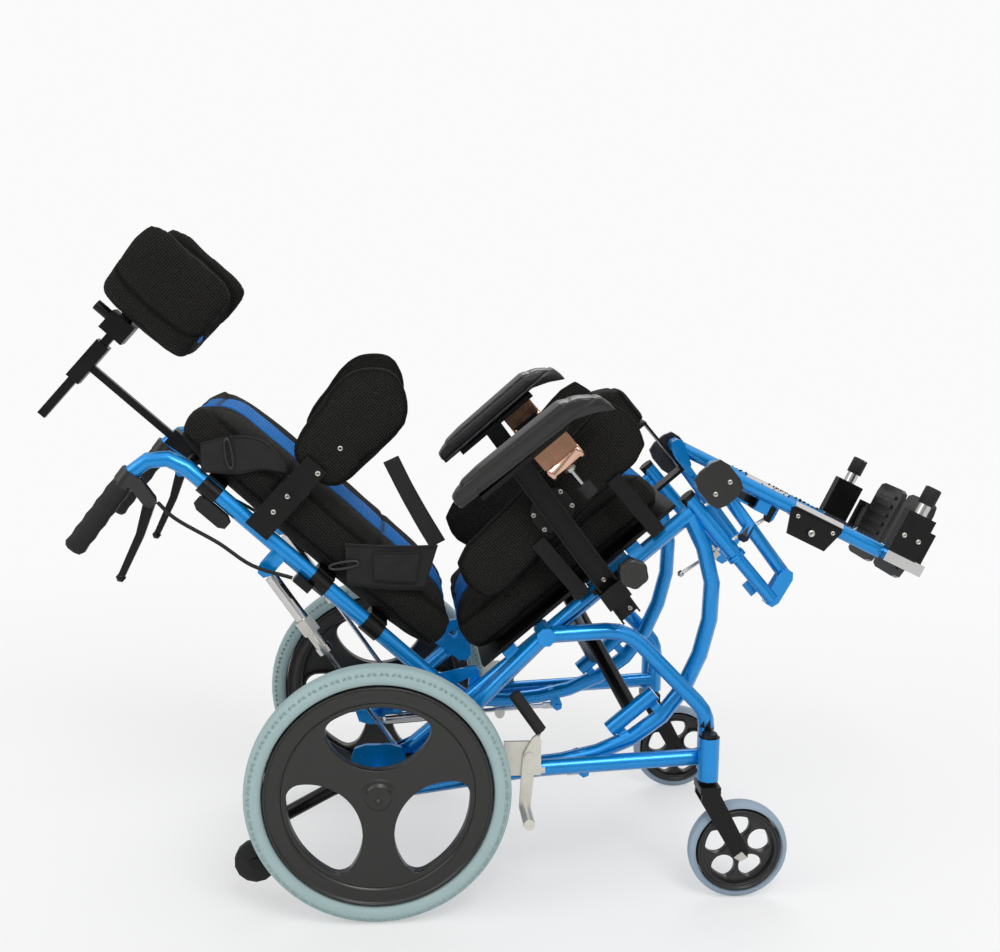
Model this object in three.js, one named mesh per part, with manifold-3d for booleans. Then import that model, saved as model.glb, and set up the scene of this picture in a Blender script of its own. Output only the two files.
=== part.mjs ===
// A tilt in space wheelchair: base on four wheels, tilting seat, reclining back, lifting leg rests.
import * as THREE from "three";
import { mergeVertices } from "three/addons/utils/BufferGeometryUtils.js";
import Module from "manifold-3d";

const wasm = await Module();
wasm.setup();

// Driving sizes of the whole chair, in millimetres and degrees. X is forward, Z up, the rear axle lies at X 0.
const axleBack = 185.1;
const clearance = 0.3;
const overrun = 3;
const frameTubeRadius = 13;
const baseTubeY = 196;
const seatTubeY = 160;
const pivotX = 256;
const pivotZ = 422;
const seatTilt = 40.5;
const backLean = 7.7;
const legDrop = 66.4;
const hingeS = -178.3;
const hingeN = 36;
const kneeS = 369;
const kneeN = 12;
const pinRadius = 4;
const wheelAxleRadius = 6;
const tubeSides = 8;
const smallSides = 6;
const knobSides = 10;
const weldGap = 1e-4;

const rearWheel = {
  radius: 200, rimOuter: 172, rimInner: 142, halfTrack: 264, axleZ: 200, tyreHalfWidth: 22,
  rimHalfWidth: 17, faceOut: 13, faceThick: 5, hubRadius: 34, hubIn: 20, capRadius: 20, capOut: 19,
  openingRadius: 84, openingCentre: 124, wall: 4, wallIn: 12, rib: 3.5, segments: 28, windowSides: 14,
};
const caster = {
  radius: 79, rimOuter: 67, rimInner: 56, hubRadius: 14, hubHalf: 18.7, webHalf: 3, rimHalf: 12,
  tyreHalf: 14, x: 564, stemX: 512.5, y: 224, segments: 18, legThick: 4, legTop: 16, legEnd: 13,
  crownLow: 177, crownHigh: 188, stemRadius: 8, housingRadius: 17, capRadius: 14.5, housingLow: 194, housingHigh: 263,
  capThick: 6, shoulderRadius: 13, spokeGap: 21, spokeCentre: 36,
};
const base = {
  topX: 383, topZ: 429, topBend: 70, frontX: 514, frontZ: 293, frontBend: 55, footZ: 200,
  railFrontZ: 221, railMidX: 250, railMidZ: 208, railBend: 200, railBackX: 25, railBackZ: 178,
  strutX: 45, strutZ: 205, plateHalfX: 42, plateLow: 145, plateHigh: 252, plateThick: 8, plateCorner: 22,
  bossRadius: 15, bossIn: 176, bossOut: 212, nutRadius: 10, nutIn: 140, nutOut: 146.7,
};
const antiTip = {
  armRadius: 11, armY: 184, bendX: -60, bendZ: 186, bend: 70, wheelX: -188, wheelZ: 73, radius: 33,
  halfWidth: 10, wheelY: 207, eyeRadius: 13, headRadius: 9, headThick: 3, rise: 40, segments: 14,
};
const brake = {
  plateX: 222, plateZ: 230, plateLong: 58, plateHigh: 55, plateIn: 208, plateOut: 213, pivotX: 232,
  pivotZ: 235, leverThick: 6, eyeRadius: 10, shoeX: 226, shoeZ: 152, shoeRadius: 9, shoeOut: 284,
  rodRadius: 3, elbowX: 243, elbowZ: 262, gripLowX: 249, gripLowZ: 276, gripTopX: 207, gripTopZ: 336,
  gripRadius: 10, barHalf: 7, headRadius: 8, headThick: 3,
};
const tiltSpring = {
  rearZ: 165, lugS: -99, lugN: -224, eyeRadius: 9, eyeHalf: 6, cylinderRadius: 10, cylinderNear: 12,
  cylinderFar: 172, boreRadius: 4.4, rodTip: 147, forkThick: 3.5, forkRadius: 9, studRadius: 7,
};

// A closed body from any closed geometry, faces turned outward.
function solid(geometry) {
  geometry.deleteAttribute("normal");
  geometry.deleteAttribute("uv");
  const merged = mergeVertices(geometry, weldGap);
  const triVerts = new Uint32Array(merged.index.array);
  const make = () => new wasm.Manifold(
    new wasm.Mesh({ numProp: 3, vertProperties: merged.attributes.position.array, triVerts }),
  );
  const body = make();
  if (body.volume() > 0) return body;
  for (let i = 0; i < triVerts.length; i += 3) {
    [triVerts[i + 1], triVerts[i + 2]] = [triVerts[i + 2], triVerts[i + 1]];
  }
  return make();
}

// The radius of a bore with flat sides that clears a round pin.
function boreFor(pin, sides = smallSides) {
  return (pin + clearance) / Math.cos(Math.PI / sides);
}

function join(...bodies) {
  return bodies.reduce((sum, body) => sum.add(body));
}

function cut(body, ...cutters) {
  return cutters.reduce((rest, cutter) => rest.subtract(cutter), body);
}

function geometryOf(body) {
  const made = body.getMesh();
  const geometry = new THREE.BufferGeometry();
  geometry.setAttribute("position", new THREE.BufferAttribute(made.vertProperties, 3));
  geometry.setIndex(new THREE.BufferAttribute(made.triVerts, 1));
  const faceted = geometry.toNonIndexed();
  faceted.computeVertexNormals();
  return faceted;
}

function vector(point) {
  return new THREE.Vector3(...point);
}

// A block between two corners.
function block(low, high) {
  const size = vector(high).sub(vector(low));
  const middle = vector(high).add(vector(low)).multiplyScalar(0.5);
  return solid(new THREE.BoxGeometry(size.x, size.y, size.z).translate(middle.x, middle.y, middle.z));
}

// A round bar from one point to another.
function bar(radius, from, to, sides = tubeSides, endRadius = radius) {
  const start = vector(from);
  const along = vector(to).sub(start);
  const geometry = new THREE.CylinderGeometry(endRadius, radius, along.length(), sides);
  geometry.rotateY(Math.PI / sides);
  geometry.applyQuaternion(
    new THREE.Quaternion().setFromUnitVectors(new THREE.Vector3(0, 1, 0), along.clone().normalize()),
  );
  const middle = start.addScaledVector(along, 0.5);
  return solid(geometry.translate(middle.x, middle.y, middle.z));
}

// A round bar along Y at a place in the side view.
function crossBar(radius, x, z, from, to, sides = tubeSides) {
  return bar(radius, [x, from, z], [x, to, z], sides);
}

// A path of straight runs with round bends, given as side view points at one width, with few stations.
class BentPath extends THREE.Curve {
  constructor(points, bendRadius, y, bendSteps = 3) {
    super();
    this.stations = [];
    const flat = points.map(([x, z]) => new THREE.Vector2(x, z));
    flat.forEach((point, i) => {
      if (i === 0 || i === flat.length - 1) {
        const other = i === 0 ? flat[1] : flat[i - 1];
        const way = i === 0 ? other.clone().sub(point) : point.clone().sub(other);
        this.add(point, way.normalize(), y);
        return;
      }
      const before = point.clone().sub(flat[i - 1]).normalize();
      const after = flat[i + 1].clone().sub(point).normalize();
      const turn = Math.atan2(before.cross(after), before.dot(after));
      const radius = Array.isArray(bendRadius) ? bendRadius[i - 1] : bendRadius;
      const setBack = radius * Math.tan(Math.abs(turn) / 2);
      const start = point.clone().addScaledVector(before, -setBack);
      const side = new THREE.Vector2(-before.y, before.x).multiplyScalar(Math.sign(turn) * radius);
      const centre = start.clone().add(side);
      for (let step = 0; step <= bendSteps; step += 1) {
        const angle = (turn * step) / bendSteps;
        const arm = start.clone().sub(centre).rotateAround(new THREE.Vector2(), angle);
        this.add(arm.add(centre), before.clone().rotateAround(new THREE.Vector2(), angle), y);
      }
    });
    this.steps = this.stations.length - 1;
  }

  add(point, way, y) {
    this.stations.push([new THREE.Vector3(point.x, y, point.y), new THREE.Vector3(way.x, 0, way.y)]);
  }

  station(u) {
    return this.stations[Math.round(u * this.steps)];
  }

  getPointAt(u) {
    return this.station(u)[0].clone();
  }

  getTangentAt(u) {
    return this.station(u)[1].clone();
  }
}

function circle(radius, sides) {
  const points = [];
  for (let i = 0; i < sides; i += 1) {
    const angle = (2 * Math.PI * (i + 0.5)) / sides;
    points.push(new THREE.Vector2(radius * Math.cos(angle), radius * Math.sin(angle)));
  }
  return new THREE.Shape(points);
}

function along(path, shape) {
  return solid(new THREE.ExtrudeGeometry(shape, { steps: path.steps, extrudePath: path }));
}

// A tube in the side view through corners with round bends.
function tube(radius, points, bendRadius, y, sides = tubeSides) {
  return along(new BentPath(points, bendRadius, y), circle(radius, sides));
}

// A smooth tube through points in the side view.
function curvedTube(radius, points, y, steps, sides = tubeSides) {
  const path = new THREE.CatmullRomCurve3(points.map(([x, z]) => new THREE.Vector3(x, y, z)));
  path.steps = steps;
  return along(path, circle(radius, sides));
}

// A flat plate in the side view: an outline of X and Z, from one width to another.
function plate(points, from, to, bevel = 0) {
  const shape = new THREE.Shape(points.map(([x, z]) => new THREE.Vector2(x, z)));
  return slab(shape, from, to, bevel);
}

function slab(shape, from, to, bevel = 0, steps = 6) {
  const geometry = new THREE.ExtrudeGeometry(shape, {
    depth: to - from - 2 * bevel,
    bevelEnabled: bevel > 0,
    bevelThickness: bevel,
    bevelSize: bevel,
    bevelOffset: -bevel,
    bevelSegments: 2,
    curveSegments: steps,
  });
  return solid(geometry.rotateX(Math.PI / 2).translate(0, to - bevel, 0));
}

// A body spun round the line between two points, from a profile of radius and share of the length.
function spun(profile, from, to, sides = tubeSides) {
  const start = vector(from);
  const way = vector(to).sub(start);
  const points = profile.map(([radius, share]) => new THREE.Vector2(radius, share * way.length()));
  if (points[0].x > 0) points.push(points[0].clone());
  const turn = new THREE.Quaternion().setFromUnitVectors(new THREE.Vector3(0, 1, 0), way.clone().normalize());
  const geometry = new THREE.LatheGeometry(points, sides).rotateY(Math.PI / sides).applyQuaternion(turn);
  return solid(geometry.translate(start.x, start.y, start.z));
}

// The outline of a strap round two circles.
function strapShape(x1, z1, r1, x2, z2, r2, steps = 3) {
  const heading = Math.atan2(z2 - z1, x2 - x1);
  const points = [];
  for (const [x, z, r, start] of [[x1, z1, r1, heading + Math.PI / 2], [x2, z2, r2, heading - Math.PI / 2]]) {
    for (let i = 0; i <= steps; i += 1) {
      const angle = start + (Math.PI * i) / steps;
      points.push([x + r * Math.cos(angle), z + r * Math.sin(angle)]);
    }
  }
  return points;
}

function strap(x1, z1, r1, x2, z2, r2, from, to) {
  return plate(strapShape(x1, z1, r1, x2, z2, r2), from, to);
}

// A body turned about Y from a profile of radius and width, set at a place.
function turned(profile, segments, x = 0, y = 0, z = 0) {
  const points = profile.map(([radius, width]) => new THREE.Vector2(radius, width));
  const closed = profile[0][0] > 0 ? [...points, points[0]] : points;
  return solid(new THREE.LatheGeometry(closed, segments).translate(x, y, z));
}

// An outline with rounded corners, from corner points.
function rounded(points, radius, steps = 2) {
  const corners = points.map(([x, z]) => new THREE.Vector2(x, z));
  const out = [];
  corners.forEach((corner, i) => {
    const before = corners[(i + corners.length - 1) % corners.length];
    const after = corners[(i + 1) % corners.length];
    const reach = Math.min(radius, corner.distanceTo(before) * 0.45, corner.distanceTo(after) * 0.45);
    const start = corner.clone().add(before.clone().sub(corner).setLength(reach));
    const end = corner.clone().add(after.clone().sub(corner).setLength(reach));
    for (let step = 0; step <= steps; step += 1) {
      const t = step / steps;
      const x = (1 - t) * (1 - t) * start.x + 2 * t * (1 - t) * corner.x + t * t * end.x;
      const z = (1 - t) * (1 - t) * start.y + 2 * t * (1 - t) * corner.y + t * t * end.y;
      out.push([x, z]);
    }
  });
  return out;
}

// A soft block: rounded edges, a crowned top and sides drawn in. The shape call moves each unit point.
function cushion(low, high, edge, parts, shape) {
  const size = vector(high).sub(vector(low));
  const middle = vector(high).add(vector(low)).multiplyScalar(0.5);
  const geometry = new THREE.BoxGeometry(size.x, size.y, size.z, ...parts);
  const place = geometry.attributes.position;
  const inner = size.clone().multiplyScalar(0.5).subScalar(edge);
  const point = new THREE.Vector3();
  for (let i = 0; i < place.count; i += 1) {
    point.fromBufferAttribute(place, i);
    const core = point.clone().clamp(inner.clone().negate(), inner);
    const out = point.clone().sub(core);
    if (out.length() > 0) out.setLength(edge);
    core.add(out);
    const share = core.clone().divide(size).multiplyScalar(2);
    const moved = shape(share, core, size);
    place.setXYZ(i, moved.x + middle.x, moved.y + middle.y, moved.z + middle.z);
  }
  return solid(geometry);
}

const paints = {
  blue: [0x0a82cc, 0.3, 0.6],
  black: [0x161616, 0.45, 0.3],
  chrome: [0xc9c7c2, 0.15, 1],
  zinc: [0xd8d2c2, 0.35, 0.9],
  tyre: [0xacc6c4, 0.7, 0],
  wheel: [0x34302f, 0.5, 0],
  rubber: [0x1b1b1b, 0.8, 0],
  mesh: [0x26241f, 0.95, 0],
  plastic: [0x1d1d1d, 0.5, 0],
};

function named(group, name, paint, body) {
  const [color, roughness, metalness] = paints[paint];
  const material = new THREE.MeshStandardMaterial({ color, roughness, metalness });
  const mesh = new THREE.Mesh(geometryOf(body), material);
  mesh.name = name;
  group.add(mesh);
}

const seat = {
  tubeN: -10, tubeRear: -279, tubeFront: 296, receiverS: 306, receiverLow: -111, receiverTop: 13,
  flangeRadius: 16, flangeThick: 4, capHigh: 17, tBarN: -199, tBarRear: -25, tBarFront: 68,
  bracketS: [-12, 55], bracketHalf: 7, bossRadius: 12.8, bossIn: 147, bossOut: 175.7,
  boardLow: 13.3, boardHigh: 19.3, boardRear: -108, boardFront: 283, boardHalf: 165,
  cleatS: [-60, 190], cleatHalfS: 12, cleatHalfY: 9, braceLowS: 22, braceHighS: 62, braceLag: 12,
  forkS: -296, forkN: -3, forkRadius: 11, forkThick: 3.5, forkRootS: -272, boltHead: 3,
  gussetThick: 5.7, gussetIn: 141, gussetRound: 14, gussetFrontS: -125, gussetFrontN: 15,
  gussetLowS: -163, gussetLowN: -31, weldRear: -186, weldFront: -140, weldOut: 152,
};
const arcShares = [[1, -0.04], [0.905, -0.43], [0.655, -0.77], [0.26, -1], [-0.07, -0.983], [-0.435, -0.773],
  [-0.72, -0.479], [-0.93, -0.06]];
const arcReach = 290;
const arcDepth = 234;
const armSocket = {
  plateRear: 98, plateFront: 176, plateLow: 1, plateHigh: 11, wallIn: 210.5, wallOut: 240.5, low: -25, high: 5,
  wall: 4, knobS: 165, knobN: 4, knobRadius: 19, knobIn: 243, knobOut: 265, stemRadius: 6,
};
const arm = {
  postS: 120.5, lean: 3.7, postWidth: 34, postIn: 214.3, postOut: 236, wall: 3, low: -55, high: 236,
  topLow: 236, topHigh: 241.7, topRear: 66, topFront: 232, topIn: 216, topOut: 258,
  clampRear: 170, clampFront: 216, clampLow: 196, clampIn: 229, clampOut: 253, knobLow: 134, knobHigh: 154,
  knobRadius: 12, stemRadius: 4, padRear: 30, padFront: 301, padLow: 242, padHigh: 277, padDrop: 31,
  padHalf: 29, padRearY: 228, padFrontY: 262, padEdge: 7,
};
const cushionSize = {
  rear: -112, front: 280, low: 19.6, high: 105, half: 164, edge: 30, crown: 8, drawn: 5, legGroove: 7,
  rearRise: 13, rearReach: 16,
};
const hip = {
  inner: 168, outer: 198, edge: 12, corner: 42, rearS: -45, frontS: 320, rearLow: 83, rearHigh: 186,
  frontLow: 113, frontHigh: 226, bracketS: [85, 235], bracketHalf: 12, bracketThick: 3.7, bracketHigh: 122,
  footLow: 9.3, footIn: 118,
};
const pommelSize = {
  rear: 287, front: 348, low: 118, high: 222, noseHigh: 190, half: 44, edge: 14, corner: 22, barS: 337,
  barThick: 4, barHalf: 15, barRear: 200, footHalf: 24, footRear: 300,
};

// The side view turned about the chair's own hinge, as a place in world X and Z.
function seatPlace(s, n) {
  const tilt = THREE.MathUtils.degToRad(seatTilt);
  return [pivotX + s * Math.cos(tilt) - n * Math.sin(tilt), pivotZ + s * Math.sin(tilt) + n * Math.cos(tilt)];
}

function baseFrame() {
  const b = base;
  const upper = tube(
    frameTubeRadius,
    [[pivotX, pivotZ], [b.topX, b.topZ], [b.frontX, b.frontZ], [b.frontX, b.footZ]],
    [b.topBend, b.frontBend],
    baseTubeY,
  );
  const rail = tube(
    frameTubeRadius,
    [[b.frontX, b.railFrontZ], [b.railMidX, b.railMidZ], [b.railBackX, b.railBackZ]],
    b.railBend,
    baseTubeY,
  );
  const strut = bar(frameTubeRadius, [pivotX, baseTubeY, pivotZ], [b.strutX - overrun, baseTubeY, b.strutZ]);
  const axleCorners = [
    [-b.plateHalfX, b.plateLow], [b.plateHalfX, b.plateLow], [b.plateHalfX, b.plateHigh],
    [-b.plateHalfX, b.plateHigh],
  ];
  const plateIn = baseTubeY - b.plateThick / 2;
  const axlePlate = plate(rounded(axleCorners, b.plateCorner), plateIn, plateIn + b.plateThick);
  const r = rearWheel;
  const axleEnd = r.halfTrack + r.capOut - r.faceThick;
  const axle = crossBar(wheelAxleRadius, 0, r.axleZ, plateIn, axleEnd, smallSides);
  const axleCollar = crossBar(r.capRadius, 0, r.axleZ, plateIn, r.halfTrack - r.hubIn - clearance);
  const boss = crossBar(b.bossRadius, pivotX, pivotZ, b.bossIn, b.bossOut);
  const pin = crossBar(wheelAxleRadius, pivotX, pivotZ, b.nutIn, b.bossOut, smallSides);
  const nut = crossBar(b.nutRadius, pivotX, pivotZ, b.nutIn, b.nutOut, 6);
  return join(upper, rail, strut, axlePlate, axle, axleCollar, boss, pin, nut, steeringHousing(), tiltStud(),
    antiTipArm(), brakePlate());
}

function steeringHousing() {
  const c = caster;
  const shell = bar(c.housingRadius, [c.stemX, c.y, c.housingLow], [c.stemX, c.y, c.housingHigh], knobSides);
  const bore = bar(
    boreFor(c.stemRadius, tubeSides),
    [c.stemX, c.y, c.housingLow - overrun],
    [c.stemX, c.y, c.housingHigh + overrun],
  );
  const weld = block([c.stemX - frameTubeRadius / 2, baseTubeY, c.housingLow + overrun],
    [c.stemX + frameTubeRadius / 2, c.y - c.stemRadius - overrun, c.housingHigh - overrun]);
  return cut(join(shell, weld), bore);
}

function tiltStud() {
  const t = tiltSpring;
  return crossBar(t.studRadius, 0, t.rearZ, seatTubeY + t.eyeHalf + clearance, baseTubeY);
}

function antiTipArm() {
  const a = antiTip;
  const arm = tube(a.armRadius, [[0, a.bendZ], [a.bendX, a.bendZ - overrun], [a.wheelX, a.wheelZ + a.rise],
    [a.wheelX, a.wheelZ]], [a.bend, a.bend / 2], a.armY);
  const eye = crossBar(a.eyeRadius, a.wheelX, a.wheelZ, a.armY - a.armRadius, a.armY + a.armRadius);
  const far = a.wheelY + a.halfWidth + clearance;
  const pin = crossBar(pinRadius, a.wheelX, a.wheelZ, a.armY, far + a.headThick, smallSides);
  const head = crossBar(a.headRadius, a.wheelX, a.wheelZ, far, far + a.headThick);
  return join(arm, eye, pin, head);
}

function brakePlate() {
  const k = brake;
  const halfLong = k.plateLong / 2;
  const halfHigh = k.plateHigh / 2;
  const sheet = block([k.plateX - halfLong, k.plateIn, k.plateZ - halfHigh],
    [k.plateX + halfLong, k.plateOut, k.plateZ + halfHigh]);
  const leverOut = k.plateOut + k.leverThick + 2 * clearance;
  const pin = crossBar(pinRadius, k.pivotX, k.pivotZ, k.plateOut - clearance, leverOut + k.headThick, smallSides);
  const head = crossBar(k.headRadius, k.pivotX, k.pivotZ, leverOut, leverOut + k.headThick);
  return join(sheet, pin, head);
}

function parkingBrake() {
  const k = brake;
  const from = k.plateOut + clearance;
  const to = from + k.leverThick;
  const mid = (from + to) / 2;
  const lower = strap(k.pivotX, k.pivotZ, k.eyeRadius, k.shoeX, k.shoeZ, k.shoeRadius, from, to);
  const upper = strap(k.pivotX, k.pivotZ, k.eyeRadius, k.elbowX, k.elbowZ, k.barHalf, from, to);
  const rod = bar(k.rodRadius, [k.elbowX, mid, k.elbowZ - overrun], [k.gripLowX, mid, k.gripLowZ], smallSides);
  const grip = bar(k.gripRadius, [k.gripLowX, mid, k.gripLowZ], [k.gripTopX, mid, k.gripTopZ]);
  const shoe = crossBar(k.shoeRadius, k.shoeX, k.shoeZ, from, k.shoeOut);
  const bore = crossBar(boreFor(pinRadius), k.pivotX, k.pivotZ, from - overrun, to + overrun, smallSides);
  return cut(join(lower, upper, rod, grip, shoe), bore);
}

// One of the three round windows of the rear wheel: a circle kept inside the rim.
function wheelWindow(radius, rim, angle, from, to) {
  const w = rearWheel;
  const x = w.openingCentre * Math.cos(angle);
  const z = w.openingCentre * Math.sin(angle);
  const disc = crossBar(radius, x, z, from, to, rearWheel.windowSides);
  return disc.intersect(crossBar(rim, 0, 0, from, to, w.segments));
}

function rearWheelBody() {
  const w = rearWheel;
  const faceIn = w.faceOut - w.faceThick;
  let body = turned([
    [boreFor(wheelAxleRadius), -w.hubIn], [w.hubRadius * 0.7, -w.hubIn], [w.hubRadius, faceIn],
    [w.rimInner, faceIn], [w.rimInner, -w.rimHalfWidth], [w.rimOuter, -w.rimHalfWidth],
    [w.rimOuter, w.rimHalfWidth], [w.rimInner, w.faceOut], [w.hubRadius, w.faceOut],
    [w.capRadius, w.capOut], [boreFor(wheelAxleRadius), w.capOut],
  ], w.segments);
  const windowAngles = [80, 200, 320];
  for (const degrees of windowAngles) {
    const angle = THREE.MathUtils.degToRad(degrees);
    const ribAngle = angle + Math.PI / 3;
    const reach = [w.rimInner * Math.cos(ribAngle), w.rimInner * Math.sin(ribAngle)];
    const spoke = strap(0, 0, w.rib / 2, reach[0], reach[1], w.rib / 2, -w.wallIn, w.faceOut - overrun / 2);
    const axleRoom = crossBar(w.hubRadius * 0.6, 0, 0, -w.hubIn - overrun, w.capOut + overrun, w.segments);
    body = join(body, cut(spoke, axleRoom));
  }
  for (const degrees of windowAngles) {
    const angle = THREE.MathUtils.degToRad(degrees);
    body = join(body, wheelWindow(w.openingRadius + w.wall, w.rimInner + overrun, angle, -w.wallIn, w.faceOut));
  }
  for (const degrees of windowAngles) {
    const angle = THREE.MathUtils.degToRad(degrees);
    const room = -w.wallIn - overrun;
    body = cut(body, wheelWindow(w.openingRadius, w.rimInner, angle, room, w.faceOut + overrun));
  }
  return body;
}

function tyre(inner, outer, halfWidth, segments) {
  const depth = outer - inner;
  return turned([
    [inner, -halfWidth * 0.6], [inner + depth * 0.35, -halfWidth], [inner + depth * 0.75, -halfWidth * 0.9],
    [outer, -halfWidth * 0.45], [outer, halfWidth * 0.45], [inner + depth * 0.75, halfWidth * 0.9],
    [inner + depth * 0.35, halfWidth], [inner, halfWidth * 0.6],
  ], segments);
}

function casterFork() {
  const c = caster;
  const legIn = c.hubHalf + clearance;
  const legOut = legIn + c.legThick;
  const crown = block([c.stemX - c.legTop, c.y - legOut, c.crownLow], [c.stemX + c.legTop, c.y + legOut, c.crownHigh]);
  const shoulder = bar(c.shoulderRadius, [c.stemX, c.y, c.crownHigh - overrun],
    [c.stemX, c.y, c.housingLow - clearance]);
  const stemTop = c.housingHigh + clearance;
  const stem = bar(c.stemRadius, [c.stemX, c.y, c.crownLow], [c.stemX, c.y, stemTop + c.capThick]);
  const cap = bar(c.capRadius, [c.stemX, c.y, stemTop], [c.stemX, c.y, stemTop + c.capThick], tubeSides,
    c.capRadius * 0.85);
  const legs = [[c.y - legOut, c.y - legIn], [c.y + legIn, c.y + legOut]].map(([from, to]) =>
    strap(c.stemX, c.crownHigh - c.legTop, c.legTop, c.x, c.radius, c.legEnd, from, to));
  const axle = crossBar(pinRadius, c.x, c.radius, c.y - legOut - overrun, c.y + legOut + overrun, smallSides);
  return join(crown, shoulder, stem, cap, ...legs, axle);
}

function casterWheel() {
  const c = caster;
  const depth = c.radius - c.rimOuter;
  let body = turned([
    [boreFor(pinRadius), -c.hubHalf], [c.hubRadius, -c.hubHalf], [c.hubRadius, -c.webHalf],
    [c.rimInner, -c.webHalf], [c.rimInner, -c.rimHalf], [c.rimOuter + depth * 0.4, -c.tyreHalf],
    [c.radius, -c.tyreHalf * 0.5], [c.radius, c.tyreHalf * 0.5], [c.rimOuter + depth * 0.4, c.tyreHalf],
    [c.rimInner, c.rimHalf], [c.rimInner, c.webHalf], [c.hubRadius, c.webHalf], [c.hubRadius, c.hubHalf],
    [boreFor(pinRadius), c.hubHalf],
  ], c.segments);
  for (let i = 0; i < 3; i += 1) {
    const angle = (2 * Math.PI * i) / 3 + Math.PI / 2;
    const x = c.spokeCentre * Math.cos(angle);
    const z = c.spokeCentre * Math.sin(angle);
    body = cut(body, crossBar(c.spokeGap, x, z, -c.webHalf - overrun, c.webHalf + overrun, tubeSides));
  }
  return body;
}

function antiTipWheel() {
  const a = antiTip;
  return turned([
    [boreFor(pinRadius), -a.halfWidth], [a.radius * 0.8, -a.halfWidth], [a.radius, -a.halfWidth * 0.6],
    [a.radius, a.halfWidth * 0.6], [a.radius * 0.8, a.halfWidth], [boreFor(pinRadius), a.halfWidth],
  ], a.segments);
}

// The direction of the tilt spring from its rear pin to its front lug, at rest.
function tiltLine() {
  const [x, z] = seatPlace(tiltSpring.lugS, tiltSpring.lugN);
  const length = Math.hypot(x, z - tiltSpring.rearZ);
  return { length, at: (d) => [(x * d) / length, tiltSpring.rearZ + ((z - tiltSpring.rearZ) * d) / length] };
}

function alongLine(line, radius, from, to, sides = tubeSides) {
  const [x1, z1] = line.at(from);
  const [x2, z2] = line.at(to);
  return bar(radius, [x1, seatTubeY, z1], [x2, seatTubeY, z2], sides);
}

function tiltCylinder() {
  const t = tiltSpring;
  const line = tiltLine();
  const [x, z] = line.at(0);
  const eye = crossBar(t.eyeRadius, x, z, seatTubeY - t.eyeHalf, seatTubeY + t.eyeHalf);
  const head = crossBar(t.studRadius, x, z, seatTubeY - t.eyeHalf - overrun, seatTubeY, smallSides);
  const neck = alongLine(line, t.eyeHalf, 0, t.cylinderNear + overrun, smallSides);
  const body = alongLine(line, t.cylinderRadius, t.cylinderNear, t.cylinderFar);
  const bore = alongLine(line, t.boreRadius + 2 * clearance, t.cylinderNear + overrun, t.cylinderFar + overrun,
    smallSides);
  return join(eye, head, neck, cut(body, bore));
}

function tiltRod() {
  const t = tiltSpring;
  const line = tiltLine();
  const [x, z] = line.at(line.length);
  const rod = alongLine(line, pinRadius, t.rodTip, line.length, smallSides);
  const sleeve = alongLine(line, t.eyeHalf, line.length - 3 * t.eyeRadius, line.length, smallSides);
  const eye = crossBar(t.eyeRadius, x, z, seatTubeY - t.eyeHalf, seatTubeY + t.eyeHalf);
  const bore = crossBar(boreFor(pinRadius), x, z, seatTubeY - t.cylinderRadius, seatTubeY + t.cylinderRadius,
    smallSides);
  return cut(join(rod, sleeve, eye), bore);
}

function arcPoints() {
  return arcShares.map(([s, n]) => [s * arcReach, n * arcDepth]);
}

function seatFrame() {
  const f = seat;
  const tubes = join(
    bar(frameTubeRadius, [f.tubeRear, seatTubeY, f.tubeN], [f.tubeFront, seatTubeY, f.tubeN]),
    curvedTube(frameTubeRadius, arcPoints(), seatTubeY, 13),
    bar(frameTubeRadius, [f.tBarRear, seatTubeY, f.tBarN], [f.tBarFront, seatTubeY, f.tBarN]),
  );
  const brackets = f.bracketS.map((s) => block([s - f.bracketHalf, seatTubeY - frameTubeRadius / 2, -arcDepth],
    [s + f.bracketHalf, seatTubeY + frameTubeRadius / 2, f.tBarN]));
  const boss = crossBar(f.bossRadius, 0, 0, f.bossIn, f.bossOut);
  const bossBore = crossBar(boreFor(wheelAxleRadius), 0, 0, f.bossIn - 2 * overrun, f.bossOut + overrun, smallSides);
  const cleats = f.cleatS.map((s) => block([s - f.cleatHalfS, seatTubeY - f.cleatHalfY, f.tubeN],
    [s + f.cleatHalfS, seatTubeY + f.cleatHalfY, f.boardLow - clearance]));
  return join(
    cut(join(tubes, ...brackets, boss), bossBore),
    ...cleats, receiver(), tiltLug(), reclineFork(), backGusset(), armSocketBody(),
  );
}

function receiver() {
  const f = seat;
  const post = bar(frameTubeRadius, [f.receiverS, seatTubeY, f.receiverLow], [f.receiverS, seatTubeY, f.receiverTop]);
  const flange = bar(f.flangeRadius, [f.receiverS, seatTubeY, f.receiverLow],
    [f.receiverS, seatTubeY, f.receiverLow + f.flangeThick]);
  const cap = bar(frameTubeRadius + clearance, [f.receiverS, seatTubeY, f.receiverTop - overrun],
    [f.receiverS, seatTubeY, f.capHigh]);
  return join(post, flange, cap);
}

function tiltLug() {
  const t = tiltSpring;
  const fromArcS = t.lugS + t.forkRadius;
  const fromArcN = t.lugN + 3 * t.forkRadius;
  const inner = seatTubeY - t.eyeHalf - clearance;
  const outer = seatTubeY + t.eyeHalf + clearance;
  const sides = [[inner - t.forkThick, inner], [outer, outer + t.forkThick]].map(([from, to]) =>
    strap(t.lugS, t.lugN, t.forkRadius, fromArcS, fromArcN, t.forkRadius, from, to));
  const pin = crossBar(pinRadius, t.lugS, t.lugN, inner - t.forkThick - overrun, outer + t.forkThick + overrun,
    smallSides);
  return join(...sides, pin);
}

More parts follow.
